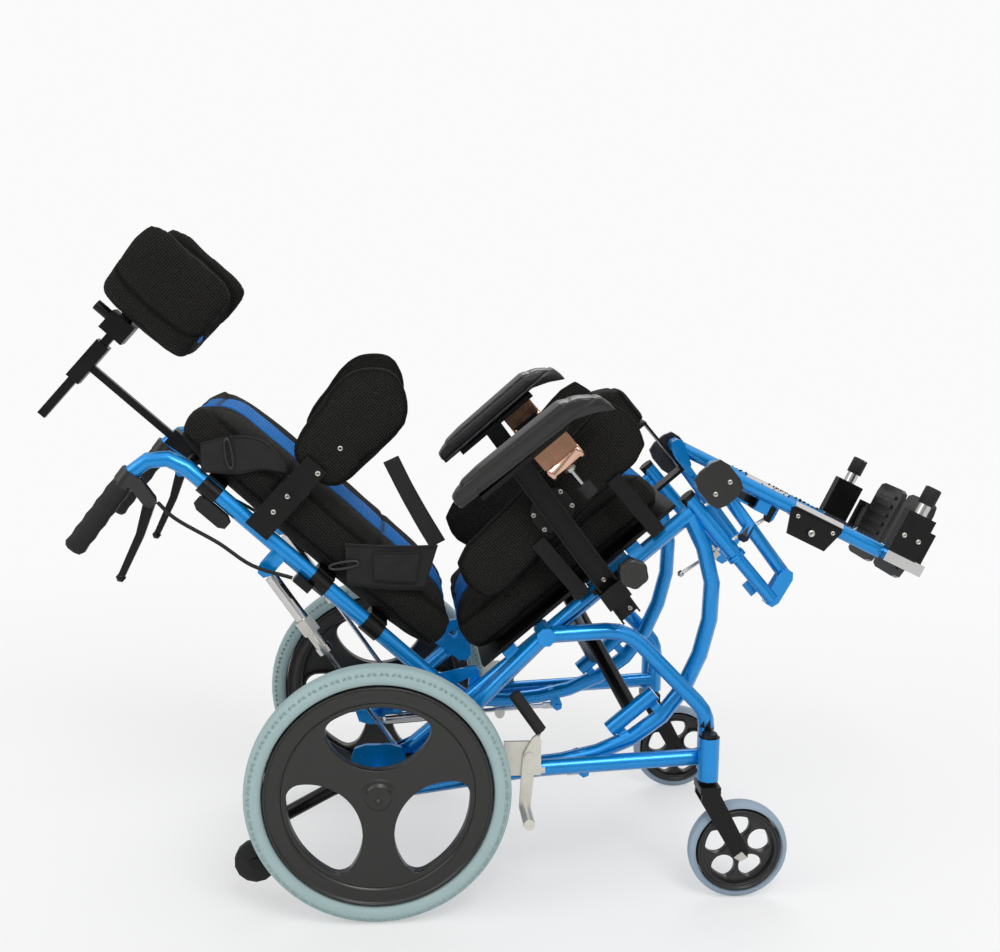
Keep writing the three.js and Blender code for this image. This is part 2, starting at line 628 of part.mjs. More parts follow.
function reclineFork() {
  const f = seat;
  const eyeHalf = reclineSpring.eyeHalf + clearance;
  const sides = [-1, 1].map((side) => {
    const near = seatTubeY + side * eyeHalf;
    const far = seatTubeY + side * (eyeHalf + f.forkThick);
    const head = seatTubeY + side * (eyeHalf + f.forkThick + f.boltHead);
    const cheek = strap(f.forkS, f.forkN, f.forkRadius, f.forkRootS, f.tubeN, f.forkRadius,
      Math.min(near, far), Math.max(near, far));
    const bolt = crossBar(f.forkRadius / 2, f.forkS, f.forkN, Math.min(near, head), Math.max(near, head), smallSides);
    return join(cheek, bolt);
  });
  return join(...sides);
}

function backGusset() {
  const f = seat;
  const out = f.gussetIn + f.gussetThick;
  const sheet = join(
    strap(hingeS, hingeN, f.gussetRound, f.gussetLowS, f.gussetLowN, f.gussetRound, f.gussetIn, out),
    strap(hingeS, hingeN, f.gussetRound, f.gussetFrontS, f.gussetFrontN, f.gussetRound / 2, f.gussetIn, out),
    strap(f.gussetLowS, f.gussetLowN, f.gussetRound, f.gussetFrontS, f.gussetFrontN, f.gussetRound / 2,
      f.gussetIn, out),
  );
  const weld = block([f.weldRear, f.gussetIn, f.tubeN - frameTubeRadius / 2], [f.weldFront, f.weldOut, f.tubeN]);
  const tubeOut = seatTubeY + frameTubeRadius + clearance;
  const pin = crossBar(pinRadius, hingeS, hingeN, f.gussetIn, tubeOut + f.boltHead, smallSides);
  const head = crossBar(f.forkRadius * 0.8, hingeS, hingeN, tubeOut, tubeOut + f.boltHead);
  return join(sheet, weld, pin, head);
}

// The leaning line of the arm post at a height over the seat tube.
function armS(n) {
  return arm.postS + (n - arm.low) * Math.tan(THREE.MathUtils.degToRad(arm.lean));
}

function leaningBlock(half, low, high, from, to) {
  return plate([[armS(low) - half, low], [armS(low) + half, low], [armS(high) + half, high],
    [armS(high) - half, high]], from, to);
}

function armSocketBody() {
  const a = armSocket;
  const half = arm.postWidth / 2;
  const sheet = block([a.plateRear, seatTubeY - overrun, a.plateLow], [a.plateFront, a.wallIn + a.wall / 2, a.plateHigh]);
  const sleeve = leaningBlock(half + a.wall, a.low, a.high, a.wallIn, a.wallOut);
  const room = leaningBlock(half + clearance, a.low - overrun, a.high + 3 * overrun, arm.postIn - clearance,
    arm.postOut + clearance);
  const ear = block([a.knobS - a.knobRadius, a.wallIn, a.knobN - a.knobRadius],
    [a.knobS + a.plateHigh, a.wallIn + a.wall, a.knobN + a.stemRadius]);
  const stem = crossBar(a.stemRadius, a.knobS, a.knobN, a.wallIn, a.knobOut, smallSides);
  const knob = crossBar(a.knobRadius, a.knobS, a.knobN, a.knobIn, a.knobOut, knobSides);
  return join(sheet, cut(sleeve, room), ear, stem, knob);
}

function crossBrace() {
  const f = seat;
  const tubes = [1, -1].map((side) => {
    const lag = side > 0 ? 0 : f.braceLag;
    const low = vector([f.braceLowS - lag, -side * seatTubeY, f.tBarN]);
    const high = vector([f.braceHighS - lag, side * seatTubeY, f.tubeN]);
    const setBack = frameTubeRadius / low.distanceTo(high) / 2;
    return bar(frameTubeRadius, low.clone().lerp(high, setBack).toArray(),
      high.clone().lerp(low, setBack).toArray());
  });
  const seats = [1, -1].flatMap((side) => [f.tBarN, f.tubeN].map((n) =>
    bar(frameTubeRadius + clearance, [f.tubeRear, side * seatTubeY, n], [f.tubeFront, side * seatTubeY, n])));
  return cut(join(...tubes), ...seats);
}

function seatBoard() {
  const f = seat;
  const h = hip;
  const p = pommelSize;
  const board = block([f.boardRear, -f.boardHalf, f.boardLow], [f.boardFront, f.boardHalf, f.boardHigh]);
  const hips = [1, -1].flatMap((side) => h.bracketS.map((s) => {
    const out = h.outer + clearance + h.bracketThick;
    const foot = block([s - h.bracketHalf, side > 0 ? h.footIn : -out, h.footLow],
      [s + h.bracketHalf, side > 0 ? out : -h.footIn, f.boardLow + overrun / 2]);
    const wall = block([s - h.bracketHalf, side > 0 ? out - h.bracketThick : -out, h.footLow],
      [s + h.bracketHalf, side > 0 ? out : h.bracketThick - out, h.bracketHigh]);
    return join(foot, wall);
  }));
  const barLow = f.boardLow - p.barThick;
  const flat = block([p.barRear, -p.barHalf, barLow], [p.barS + p.barThick, p.barHalf, f.boardLow + overrun / 2]);
  const riser = block([p.barS, -p.barHalf, barLow], [p.barS + p.barThick, p.barHalf, p.low - clearance]);
  const foot = block([p.footRear, -p.footHalf, p.low - clearance - p.barThick],
    [p.barS + p.barThick, p.footHalf, p.low - clearance]);
  return join(board, ...hips, flat, riser, foot);
}

function seatCushion() {
  const c = cushionSize;
  return cushion([c.rear, -c.half, c.low], [c.front, c.half, c.high], c.edge, [7, 10, 3], (share, point, size) => {
    const top = (share.z + 1) / 2;
    const dome = (1 - share.x ** 2) * (1 - share.y ** 2);
    const groove = Math.exp(-(((Math.abs(share.y) - 0.5) / 0.22) ** 2)) * c.legGroove;
    const slope = Math.max(0, share.x) ** 2;
    point.z += top * (c.crown * (dome - 1) - groove * slope + c.rearRise * Math.max(0, -share.x) ** 3);
    point.x += top ** 3 * Math.max(0, -share.x) * c.rearReach;
    point.y *= 1 - (c.drawn / size.y) * (1 - share.z ** 2);
    return point;
  });
}

function hipPad() {
  const h = hip;
  const outline = rounded([[h.rearS, h.rearLow], [h.frontS, h.frontLow], [h.frontS, h.frontHigh],
    [h.rearS, h.rearHigh]], h.corner);
  return plate(outline, h.inner, h.outer, h.edge);
}

function pommel() {
  const p = pommelSize;
  const low = [p.rear, -p.half, p.low];
  const high = [p.front, p.half, p.high];
  return cushion(low, high, p.edge, [3, 4, 5], (share, point) => {
    const top = (share.z + 1) / 2;
    point.z -= (top * (p.high - p.noseHigh) * (share.x + 1)) / 2;
    point.y *= 1 - 0.18 * top;
    return point;
  });
}

function armPost() {
  const a = arm;
  const half = a.postWidth / 2;
  const outer = leaningBlock(half, a.low, a.high, a.postIn, a.postOut);
  const hollow = leaningBlock(half - a.wall, a.low - overrun, a.high - overrun, a.postIn + a.wall,
    a.postOut + overrun);
  const top = block([a.topRear, a.topIn, a.topLow - overrun / 2], [a.topFront, a.topOut, a.topHigh]);
  const clamp = block([a.clampRear, a.clampIn, a.clampLow], [a.clampFront, a.clampOut, a.topLow]);
  const knobS = (a.clampRear + a.clampFront) / 2;
  const knobY = (a.clampIn + a.clampOut) / 2;
  const stem = bar(a.stemRadius, [knobS, knobY, a.knobLow], [knobS, knobY, a.clampLow + overrun], smallSides);
  const knob = bar(a.knobRadius, [knobS, knobY, a.knobLow], [knobS, knobY, a.knobHigh], knobSides);
  return join(cut(outer, hollow), top, clamp, stem, knob);
}

// The arm pad widens outwards to the front and bends down at its front end.
function armPad() {
  const a = arm;
  const length = a.padFront - a.padRear;
  const height = a.padHigh - a.padLow;
  const low = [a.padRear, -a.padHalf, a.padLow];
  const high = [a.padFront, a.padHalf, a.padHigh];
  return cushion(low, high, a.padEdge, [9, 3, 2], (share, point) => {
    const front = (share.x + 1) / 2;
    const bend = Math.max(0, front - 0.82) / 0.18;
    const rear = Math.max(0, 0.14 - front) / 0.14;
    point.z -= bend * a.padDrop + rear * 0.35 * height * (share.z + 1) / 2;
    point.x -= (bend * length * 0.02 * (share.z + 1)) / 2;
    point.y *= 1 - 0.25 * (1 - front) - 0.12 * bend;
    point.y += a.padRearY + (a.padFrontY - a.padRearY) * front;
    return point;
  });
}

// The height of the cross bar carries the bends, the handles and the sleeve of the head stalk.
const crossUp = 518;
const aboveCross = { corner: 57, end: 42, sleeveHigh: 51, pivot: 4 };
const belowCross = { sleeveLow: 13, stalkLow: 25, cableTop: 5.4, cableRun: 38 };
const back = {
  low: -14, cornerB: crossUp + aboveCross.corner, cornerM: 3, bend: 55, endB: crossUp + aboveCross.end,
  endM: -196, crossB: crossUp, crossM: -7, crossRadius: 9, sleeveLow: crossUp - belowCross.sleeveLow,
  sleeveHigh: crossUp + aboveCross.sleeveHigh, sleeveHalf: 14, bandHalf: 16,
  bands: [467, 250, 143], bandRadius: 15, tabIn: 116,
  lugB: 325, lugM: -38, lugRadius: 12, lugThick: 3.5, lugRootM: -8,
  padPlateLowB: 354, padPlateHighB: 396, padPlateIn: 172, padPlateOut: 177, padPlateM: 96, padBarOut: 190,
  padBarEndM: 140, padBarLowB: 356, padBarHighB: 394, knobB: 442,
  knobM: -24, knobLong: 62, knobThick: 14, knobHalf: 8, clipB: 270, clipHalfB: 15, clipHigh: 7,
};
const grip = { start: -75, end: -203, radius: 16, ribs: 5, ribHigh: 1.5, mountM: -64, mountHalf: 9,
  mountRadius: 17, pivotB: crossUp + aboveCross.pivot, pivotM: -72, leverHalf: 5, pivotRadius: 10,
  mountWall: 3.5 };
const leverDrop = { ball: 43, mid: 22 };
const lever = { ballB: grip.pivotB - leverDrop.ball, ballM: -190, ballRadius: 8, thick: 9,
  midB: grip.pivotB - leverDrop.mid, midM: -120, rootHalf: 9, tipHalf: 5 };
const cable = { radius: 3, y: 181, steps: 12 };
const cableRoute = [[-66, 160, crossUp - belowCross.cableTop], [-68, 160, crossUp - belowCross.cableRun],
  [-52, 168, 405], [-42, 181, 345], [-17, 181, 287.5]];
const backPad = {
  low: 33, high: 569, rear: 18, front: 105, half: 168, edge: 34, crown: 7, drawn: 6, channel: 7, channelAt: 0.36,
};
const stalk = { low: crossUp - belowCross.stalkLow, high: 741, half: 6, barHalf: 7, barRear: -117, barFront: 54,
  blockHalf: 22, blockHalfY: 19, blockM: 75, sliderRear: -40, sliderFront: 35, sliderHalf: 12, screwRadius: 6, screwOut: 26,
  pinRadius: 9, pinHigh: 790, ballM: 88, ballRadius: 12.7 };
const headPadSize = { low: 627, high: 800, rear: 101, wingFront: 262, thick: 44, half: 118, bow: 6, tipDrop: 4, edge: 16 };
const sidePadSize = { inner: 147, outer: 185, edge: 15, corner: 42 };
const sidePadOutline = { lowB: 307, lowM: 287, rearLowB: 321, rearHighB: 424, rearM: 112, highB: 441, highM: 277,
  noseB: 381, noseM: 332 };
const belt = { y: 168.5, thick: 3, lowB: 112, highB: 148, rearLowM: 101, rearB: 269, rearM: 58, noseB: 305,
  noseM: 213, lowM: 175 };
const reclineSpring = {
  eyeRadius: 8, eyeHalf: 6, cylinderRadius: 10, cylinderNear: 14, cylinderFar: 160, boreRadius: 4.4, rodTip: 140,
  valveAt: 96, valveHigh: 26, valveHalf: 11, ringRadius: 12, ringLong: 12,
};

function backFrame() {
  const k = back;
  const posts = [1, -1].map((side) => {
    const y = side * seatTubeY;
    const post = cut(
      tube(frameTubeRadius, [[0, k.low], [k.cornerM, k.cornerB], [k.endM, k.endB]], k.bend, y),
      crossBar(boreFor(pinRadius), 0, 0, y - 2 * frameTubeRadius, y + 2 * frameTubeRadius, smallSides),
    );
    const bands = k.bands.map((b) => bar(k.bandRadius, [0, y, b - k.bandHalf], [0, y, b + k.bandHalf]));
    const tabs = k.bands.map((b) => block([k.bandRadius / 2, side > 0 ? k.tabIn : -seatTubeY, b - k.bandHalf],
      [backPad.rear - clearance, side > 0 ? seatTubeY : -k.tabIn, b + k.bandHalf]));
    return join(post, ...bands, ...tabs, springLug(side), padBracket(side), tensionKnob(side), cableClip(side));
  });
  const cross = bar(k.crossRadius, [k.crossM, -seatTubeY, k.crossB], [k.crossM, seatTubeY, k.crossB]);
  const sleeve = block([k.crossM - k.sleeveHalf, -k.sleeveHalf, k.sleeveLow],
    [k.crossM + k.sleeveHalf, k.sleeveHalf, k.sleeveHigh]);
  const roomHalf = stalk.half + clearance;
  const room = block([k.crossM - roomHalf, -roomHalf, k.sleeveLow - 2 * frameTubeRadius],
    [k.crossM + roomHalf, roomHalf, k.sleeveHigh + overrun]);
  return cut(join(...posts, cross, sleeve), room);
}

function springLug(side) {
  const k = back;
  const inner = reclineSpring.eyeHalf + clearance;
  const cheeks = [-1, 1].map((way) => {
    const near = side * seatTubeY + way * inner;
    const far = near + way * k.lugThick;
    return strap(k.lugM, k.lugB, k.lugRadius, k.lugRootM, k.lugB, k.lugRadius, Math.min(near, far),
      Math.max(near, far));
  });
  const reach = inner + k.lugThick + overrun;
  const pin = crossBar(pinRadius, k.lugM, k.lugB, side * seatTubeY - reach, side * seatTubeY + reach, smallSides);
  return join(...cheeks, pin);
}

// The bracket that carries a side pad: a plate on the post, and a bar along the outside of the pad.
function padBracket(side) {
  const k = back;
  const span = (from, to) => (side > 0 ? [from, to] : [-to, -from]);
  const [inY, outY] = span(k.padPlateIn - overrun, k.padPlateOut);
  const [barIn, barOut] = span(sidePadSize.outer + clearance, k.padBarOut);
  const sheet = block([0, inY, k.padPlateLowB], [k.padPlateM, outY, k.padPlateHighB]);
  const [stepIn, stepOut] = span(k.padPlateIn, k.padBarOut);
  const step = block([k.padPlateM - 4 * overrun, stepIn, k.padPlateLowB], [k.padPlateM, stepOut, k.padBarHighB]);
  const arm = block([k.padPlateM - 4 * overrun, barIn, k.padBarLowB], [k.padBarEndM, barOut, k.padBarHighB]);
  return join(sheet, step, arm);
}

function tensionKnob(side) {
  const k = back;
  const y = side * seatTubeY;
  const body = strap(k.knobM, k.knobB - k.knobLong / 3, k.knobThick * 0.8, k.knobM, k.knobB + k.knobLong / 3,
    k.knobThick * 0.8, y - k.knobHalf, y + k.knobHalf);
  return body;
}

function cableClip(side) {
  const k = back;
  const out = cable.y + cable.radius + overrun / 2;
  return block([-frameTubeRadius - k.clipHigh, side > 0 ? seatTubeY : -out, k.clipB - k.clipHalfB],
    [-frameTubeRadius / 2, side > 0 ? out : -seatTubeY, k.clipB + k.clipHalfB]);
}

function handGrip() {
  const g = grip;
  const t = back;
  const slope = Math.atan2(t.cornerB - t.endB, t.cornerM - t.endM);
  const at = (m) => [m, seatTubeY, t.endB + (m - t.endM) * Math.tan(slope)];
  const profile = [[0, 0], [g.radius * 0.85, 0]];
  for (let i = 0; i < g.ribs; i += 1) {
    const share = (i + 0.5) / g.ribs;
    profile.push([g.radius + g.ribHigh, share - 0.25 / g.ribs], [g.radius, share + 0.25 / g.ribs]);
  }
  const body = spun([...profile, [g.radius, 1], [0, 1]], at(g.end), at(g.start));
  const room = bar(boreFor(frameTubeRadius, tubeSides), at(t.endM - clearance), at(g.start + 4 * g.mountHalf));
  const collarAt = g.mountM;
  const collar = bar(g.mountRadius, at(collarAt - g.mountHalf - overrun), at(collarAt + g.mountHalf));
  const cheekHigh = at(collarAt)[2];
  const near = g.leverHalf + clearance;
  const cheeks = [-1, 1].map((way) => {
    const a = seatTubeY + way * near;
    const b = a + way * g.mountWall;
    return strap(collarAt, cheekHigh - frameTubeRadius, g.pivotRadius, g.pivotM, g.pivotB, g.pivotRadius,
      Math.min(a, b), Math.max(a, b));
  });
  const pin = crossBar(pinRadius, g.pivotM, g.pivotB, seatTubeY - near - g.mountWall, seatTubeY + near + g.mountWall,
    smallSides);
  return cut(join(body, collar, ...cheeks, pin), room);
}

function releaseLever() {
  const v = lever;
  const from = seatTubeY - grip.leverHalf;
  const to = seatTubeY + grip.leverHalf;
  const root = strap(grip.pivotM, grip.pivotB, v.rootHalf, v.midM, v.midB, v.thick * 0.7, from, to);
  const blade = strap(v.midM, v.midB, v.thick * 0.7, v.ballM, v.ballB, v.tipHalf, from, to);
  const ball = solid(new THREE.SphereGeometry(v.ballRadius, 6, 5).translate(v.ballM, seatTubeY, v.ballB));
  const bore = crossBar(boreFor(pinRadius), grip.pivotM, grip.pivotB, from - overrun, to + overrun, smallSides);
  return cut(join(root, blade, ball), bore);
}

function releaseCable() {
  const path = new THREE.CatmullRomCurve3(cableRoute.map(vector));
  path.steps = cable.steps;
  return along(path, circle(cable.radius, smallSides));
}

function backCushion() {
  const p = backPad;
  return cushion([p.rear, -p.half, p.low], [p.front, p.half, p.high], p.edge, [2, 14, 9], (share, point, size) => {
    const face = (share.x + 1) / 2;
    const dome = (1 - share.y ** 2) * (1 - share.z ** 2);
    const channel = Math.exp(-(((Math.abs(share.y) - p.channelAt) / 0.07) ** 2)) * p.channel;
    point.x += face * (p.crown * (dome - 1) - channel * (1 - share.z ** 4));
    point.y *= 1 - (p.drawn / size.y) * (1 - share.x ** 2);
    point.z += Math.max(0, -share.z) ** 6 * face * p.edge * 0.3;
    return point;
  });
}

function headStalk() {
  const k = stalk;
  const m = back.crossM;
  const post = block([m - k.half, -k.half, k.low], [m + k.half, k.half, k.high]);
  const outer = block([k.sliderRear, -k.sliderHalf, k.high - k.sliderHalf],
    [k.sliderFront, k.sliderHalf, k.high + k.sliderHalf]);
  const roomHalf = k.barHalf + clearance;
  const room = block([k.sliderRear - overrun, -roomHalf, k.high - roomHalf],
    [k.sliderFront + overrun, roomHalf, k.high + roomHalf]);
  const screw = bar(k.screwRadius, [k.sliderFront - k.sliderHalf, k.sliderHalf - overrun, k.high],
    [k.sliderFront - k.sliderHalf, k.screwOut, k.high], smallSides);
  return cut(join(post, outer, screw), room);
}

function headBar() {
  const k = stalk;
  const rail = block([k.barRear, -k.barHalf, k.high - k.barHalf], [k.barFront, k.barHalf, k.high + k.barHalf]);
  const pinFoot = bar(k.pinRadius, [k.blockM, 0, k.high], [k.blockM, 0, k.pinHigh], knobSides);
  const head = block([k.blockM - k.blockHalf, -k.blockHalfY, k.high - k.blockHalf],
    [k.ballM, k.blockHalfY, k.high + k.blockHalf]);
  const ball = solid(new THREE.SphereGeometry(k.ballRadius, 8, 6).translate(k.ballM, 0, k.high));
  return join(rail, pinFoot, head, ball);
}

// A curved pad: a shallow U in plan, with wings that reach forward round the head.
function headPad() {
  const h = headPadSize;
  const parts = [2, 14, 5];
  const low = [h.rear, -h.half, h.low];
  const high = [h.rear + h.thick, h.half, h.high];
  return cushion(low, high, h.edge, parts, (share, point) => {
    const out = Math.abs(share.y);
    const bend = Math.max(0, out - 0.3) / 0.7;
    const reach = h.wingFront - h.rear - h.thick;
    point.x += bend ** 1.6 * reach;
    point.y *= 1 - 0.16 * bend * (share.x + 1) / 2;
    point.z -= ((1 - out) * h.bow + bend * h.tipDrop) * share.z;
    return point;
  });
}

function sidePad() {
  const p = sidePadSize;
  const o = sidePadOutline;
  const outline = rounded([[o.rearM, o.rearLowB], [o.lowM, o.lowB], [o.noseM, o.noseB], [o.highM, o.highB],
    [o.rearM, o.rearHighB]], p.corner, 3);
  return plate(outline, p.inner, p.outer, p.edge);
}

// The waist strap lies on the outside of the back cushion and comes forward to a folded nose.
function lapBelt() {
  const b = belt;
  const outline = rounded([[b.rearM, b.rearB], [b.rearLowM, b.lowB], [b.lowM, b.highB], [b.noseM, b.noseB]],
    b.thick * 2);
  return plate(outline, b.y - b.thick, b.y);
}

// The recline spring hangs from the lug on the post and reaches down to the fork behind the seat tube.
function reclineLine() {
  const lean = THREE.MathUtils.degToRad(backLean);
  const ds = seat.forkS - hingeS;
  const dn = seat.forkN - hingeN;
  const lowM = ds * Math.cos(lean) + dn * Math.sin(lean);
  const lowB = -ds * Math.sin(lean) + dn * Math.cos(lean);
  const m = lowM - back.lugM;
  const b = lowB - back.lugB;
  const length = Math.hypot(m, b);
  return { length, at: (d) => [back.lugM + (m * d) / length, back.lugB + (b * d) / length] };
}

function reclineCylinder() {
  const r = reclineSpring;
  const line = reclineLine();
  const [x, z] = line.at(0);
  const eye = crossBar(r.eyeRadius, x, z, seatTubeY - r.eyeHalf, seatTubeY + r.eyeHalf);
  const neck = alongLine(line, r.eyeHalf, 0, r.cylinderNear + overrun, smallSides);
  const body = alongLine(line, r.cylinderRadius, r.cylinderNear, r.cylinderFar);
  const ring = alongLine(line, r.ringRadius, r.cylinderFar - r.ringLong, r.cylinderFar);
  const valve = alongLine(line, r.ringRadius + overrun, r.valveAt, r.valveAt + r.valveHigh, smallSides);
  const bore = alongLine(line, r.boreRadius + 2 * clearance, r.cylinderNear + overrun, r.cylinderFar + overrun, smallSides);
  const pinRoom = crossBar(boreFor(pinRadius), x, z, seatTubeY - r.valveHalf, seatTubeY + r.valveHalf, smallSides);
  return cut(join(eye, neck, body, ring, valve), bore, pinRoom);
}

function reclineRod() {
  const r = reclineSpring;
  const line = reclineLine();
  const [x, z] = line.at(line.length);
  const rod = alongLine(line, pinRadius, r.rodTip, line.length, smallSides);
  const eye = crossBar(r.eyeRadius, x, z, seatTubeY - r.eyeHalf, seatTubeY + r.eyeHalf);
  return join(rod, eye);
}

const hanger = {
  postLow: -205, postRadius: 11, tubeTopS: 357, tubeTopN: -12, tubeLowS: 347, tubeLowN: -190, tubeY: 148,
  plateThick: 8, plateHalf: 12, guardLong: 62, guardHigh: 68, guardRearS: 324, guardLowN: -34, guardRound: 20,
  guardOut: 176, guardThick: 8, kneeIn: 128, eyeRadius: 13, latchS: 331, latchN: -92, latchRadius: 9,
  latchOut: 172, clutchS: 352, clutchN: -103.8, clutchRadius: 11.5, clutchBore: 8, clutchLong: 7,
  clutchSlant: 15, clutchArm: 3.5,
  paddleY: 124, paddleS: 286, paddleN: -180, paddleThick: 4,
};
const leg = {
  y: 143, radius: 12.5, start: 24, boreRadius: 9.8, boreStart: 170, sleeveFrom: 139,
  sleeveTo: 226, sleeveRadius: 13.5, plateFrom: 134, plateTo: 226, plateDeep: 40, plateIn: 155, plateOut: 159,
  boltT: 180, boltN: -23, lugT: 117, lugN: -32, lugRadius: 8, lugIn: 127, lugOut: 133, pinIn: 120,
  outerEnd: 302, calfFrom: 84, calfTo: 106, calfIn: 108, calfLow: -30, calfThick: 4,
};
const slide = { tip: 195, radius: 9.5, end: 376, blockFrom: 302.5, blockTo: 352, blockLow: 8, blockHigh: 80,
  blockIn: 150, blockOut: 170, stubT: 326, stubHigh: 118, stubRadius: 10, capRadius: 13, capHigh: 126,
  hingeT: 366, hingeY: 124, hingeRadius: 4, hingeLow: 16, hingeHigh: 52 };
const foot = { from: 358, thick: 9, low: -30, high: 107, inner: 8, outer: 122, ribs: 7, ribHigh: 3,
  corner: 18, eyeRadius: 9 };
const supportRod = { radius: 3, y: 124, ballRadius: 6, length: 165 };
const calf = { from: 55, to: 250, low: -9, high: 24, inner: 16, outer: 127, edge: 12, dish: 7, backLow: -26,
  backFrom: 70, backTo: 130 };

function hangerBody() {
  const h = hanger;
  const s = seat.receiverS;
  const low = seat.receiverLow;
  const post = bar(h.postRadius, [s, seatTubeY, h.postLow], [s, seatTubeY, low - clearance]);
  const collar = bar(seat.flangeRadius, [s, seatTubeY, low - clearance - seat.flangeThick],
    [s, seatTubeY, low - clearance]);
  const lowStrap = strap(s, h.postLow, h.plateHalf, h.tubeLowS, h.tubeLowN, h.plateHalf,
    h.tubeY - h.plateThick / 2, seatTubeY + h.plateThick / 2);
  const rise = bar(h.postRadius, [h.tubeLowS, h.tubeY, h.tubeLowN], [h.tubeTopS, h.tubeY, h.tubeTopN]);
  const guardCorners = [[h.guardRearS, h.guardLowN], [h.guardRearS + h.guardLong, h.guardLowN],
    [h.guardRearS + h.guardLong, h.guardLowN + h.guardHigh], [h.guardRearS, h.guardLowN + h.guardHigh]];
  const guard = plate(rounded(guardCorners, h.guardRound), h.guardOut - h.guardThick, h.guardOut);
  const inCheek = crossBar(h.eyeRadius, kneeS, kneeN, h.kneeIn - h.plateThick / 2, h.kneeIn);
  const cheekWeb = strap(kneeS, kneeN, h.eyeRadius, h.tubeTopS, h.tubeTopN - h.eyeRadius, h.postRadius,
    h.kneeIn - h.plateThick / 2, h.kneeIn);
  const webJoin = block([h.tubeTopS - h.postRadius / 2, h.kneeIn - h.plateThick / 2, h.tubeTopN - 3 * h.postRadius],
    [h.tubeTopS + h.postRadius / 2, h.tubeY, h.tubeTopN - h.eyeRadius - h.postRadius / 2]);
  const kneePin = crossBar(wheelAxleRadius, kneeS, kneeN, h.kneeIn - h.plateThick / 2, h.guardOut, smallSides);
  const guardLink = block([h.tubeTopS - h.postRadius / 2, h.tubeY, h.guardLowN],
    [h.tubeTopS + h.postRadius / 2, h.guardOut - h.guardThick / 2, h.guardLowN + h.postRadius]);
  const latch = bar(h.latchRadius, [h.latchS, h.latchOut, h.latchN], [h.tubeTopS, h.tubeY, h.latchN], smallSides);
  const clutch = cut(rodSleeve(h.clutchRadius, h.clutchLong / 2), rodSleeve(h.clutchBore, h.clutchLong));
  const clutchArm = crossBar(h.clutchArm, h.clutchS, h.clutchN, supportRod.y + h.clutchBore + clearance,
    h.tubeY, smallSides);
  const paddle = block([h.paddleS, h.paddleY, h.paddleN - h.plateHalf],
    [s, h.paddleY + h.paddleThick, h.paddleN + h.plateHalf]);
  const paddleArm = bar(pinRadius, [s - pinRadius, h.paddleY, h.paddleN], [s - pinRadius, seatTubeY, h.paddleN],
    smallSides);
  return join(post, collar, lowStrap, rise, guard, inCheek, cheekWeb, webJoin, kneePin, guardLink, latch,
    clutch, clutchArm, paddle, paddleArm);
}

// The place of a leg point in the seat's side view.
function legPlace(t, n) {
  const drop = THREE.MathUtils.degToRad(-legDrop);
  return [kneeS + t * Math.cos(drop) - n * Math.sin(drop), kneeN + t * Math.sin(drop) + n * Math.cos(drop)];
}

// A round bar about the support rod's own line, centred on the clutch.
function rodSleeve(radius, reach) {
  const h = hanger;
  const [s, n] = legPlace(leg.lugT, leg.lugN);
  const slant = THREE.MathUtils.degToRad(h.clutchSlant);
  const way = new THREE.Vector2(s - h.clutchS, n - h.clutchN).setLength(reach);
  way.rotateAround(new THREE.Vector2(), slant);
  return bar(radius, [h.clutchS - way.x, supportRod.y, h.clutchN - way.y],
    [h.clutchS + way.x, supportRod.y, h.clutchN + way.y]);
}

function legArm() {
  const g = leg;
  const tubeBody = bar(g.radius, [g.start, g.y, 0], [g.outerEnd, g.y, 0]);
  const sleeve = bar(g.sleeveRadius, [g.sleeveFrom, g.y, 0], [g.sleeveTo, g.y, 0]);
  const eye = crossBar(hanger.eyeRadius, 0, 0, hanger.kneeIn + clearance, g.y + g.radius);
  const neck = bar(g.radius, [0, g.y, 0], [g.start + overrun, g.y, 0]);
  const eyeBore = crossBar(boreFor(wheelAxleRadius), 0, 0, hanger.kneeIn - overrun, g.y + 2 * g.radius, tubeSides);
  const sheet = plate([[g.plateFrom, 0], [g.plateTo, 0], [g.plateTo - g.radius, -g.plateDeep],
    [g.plateFrom + g.radius, -g.plateDeep]], g.plateIn - overrun, g.plateOut);
  const bolt = crossBar(g.radius / 2, g.boltT, g.boltN, g.plateIn - g.radius, g.plateOut + overrun, smallSides);
  const lug = strap(g.lugT, g.lugN, g.lugRadius, g.lugT, -g.radius, g.lugRadius, g.lugIn, g.lugOut);
  const lugWeb = block([g.lugT - g.lugRadius / 2, g.lugIn, -g.radius], [g.lugT + g.lugRadius / 2, g.y, -g.radius / 3]);
  const lugPin = crossBar(pinRadius / 2, g.lugT, g.lugN, g.pinIn, g.lugOut, smallSides);
  const calfPost = block([g.calfFrom, g.calfIn, g.calfLow], [g.calfTo, g.y, g.calfLow + g.calfThick]);
  const calfRise = block([g.calfFrom, g.y - g.calfThick, g.calfLow], [g.calfTo, g.y + g.calfThick, 0]);
  const bore = bar(g.boreRadius, [g.boreStart, g.y, 0], [g.outerEnd + overrun, g.y, 0]);
  return cut(join(tubeBody, sleeve, eye, neck, sheet, bolt, lug, lugWeb, lugPin, calfPost, calfRise), eyeBore, bore);
}

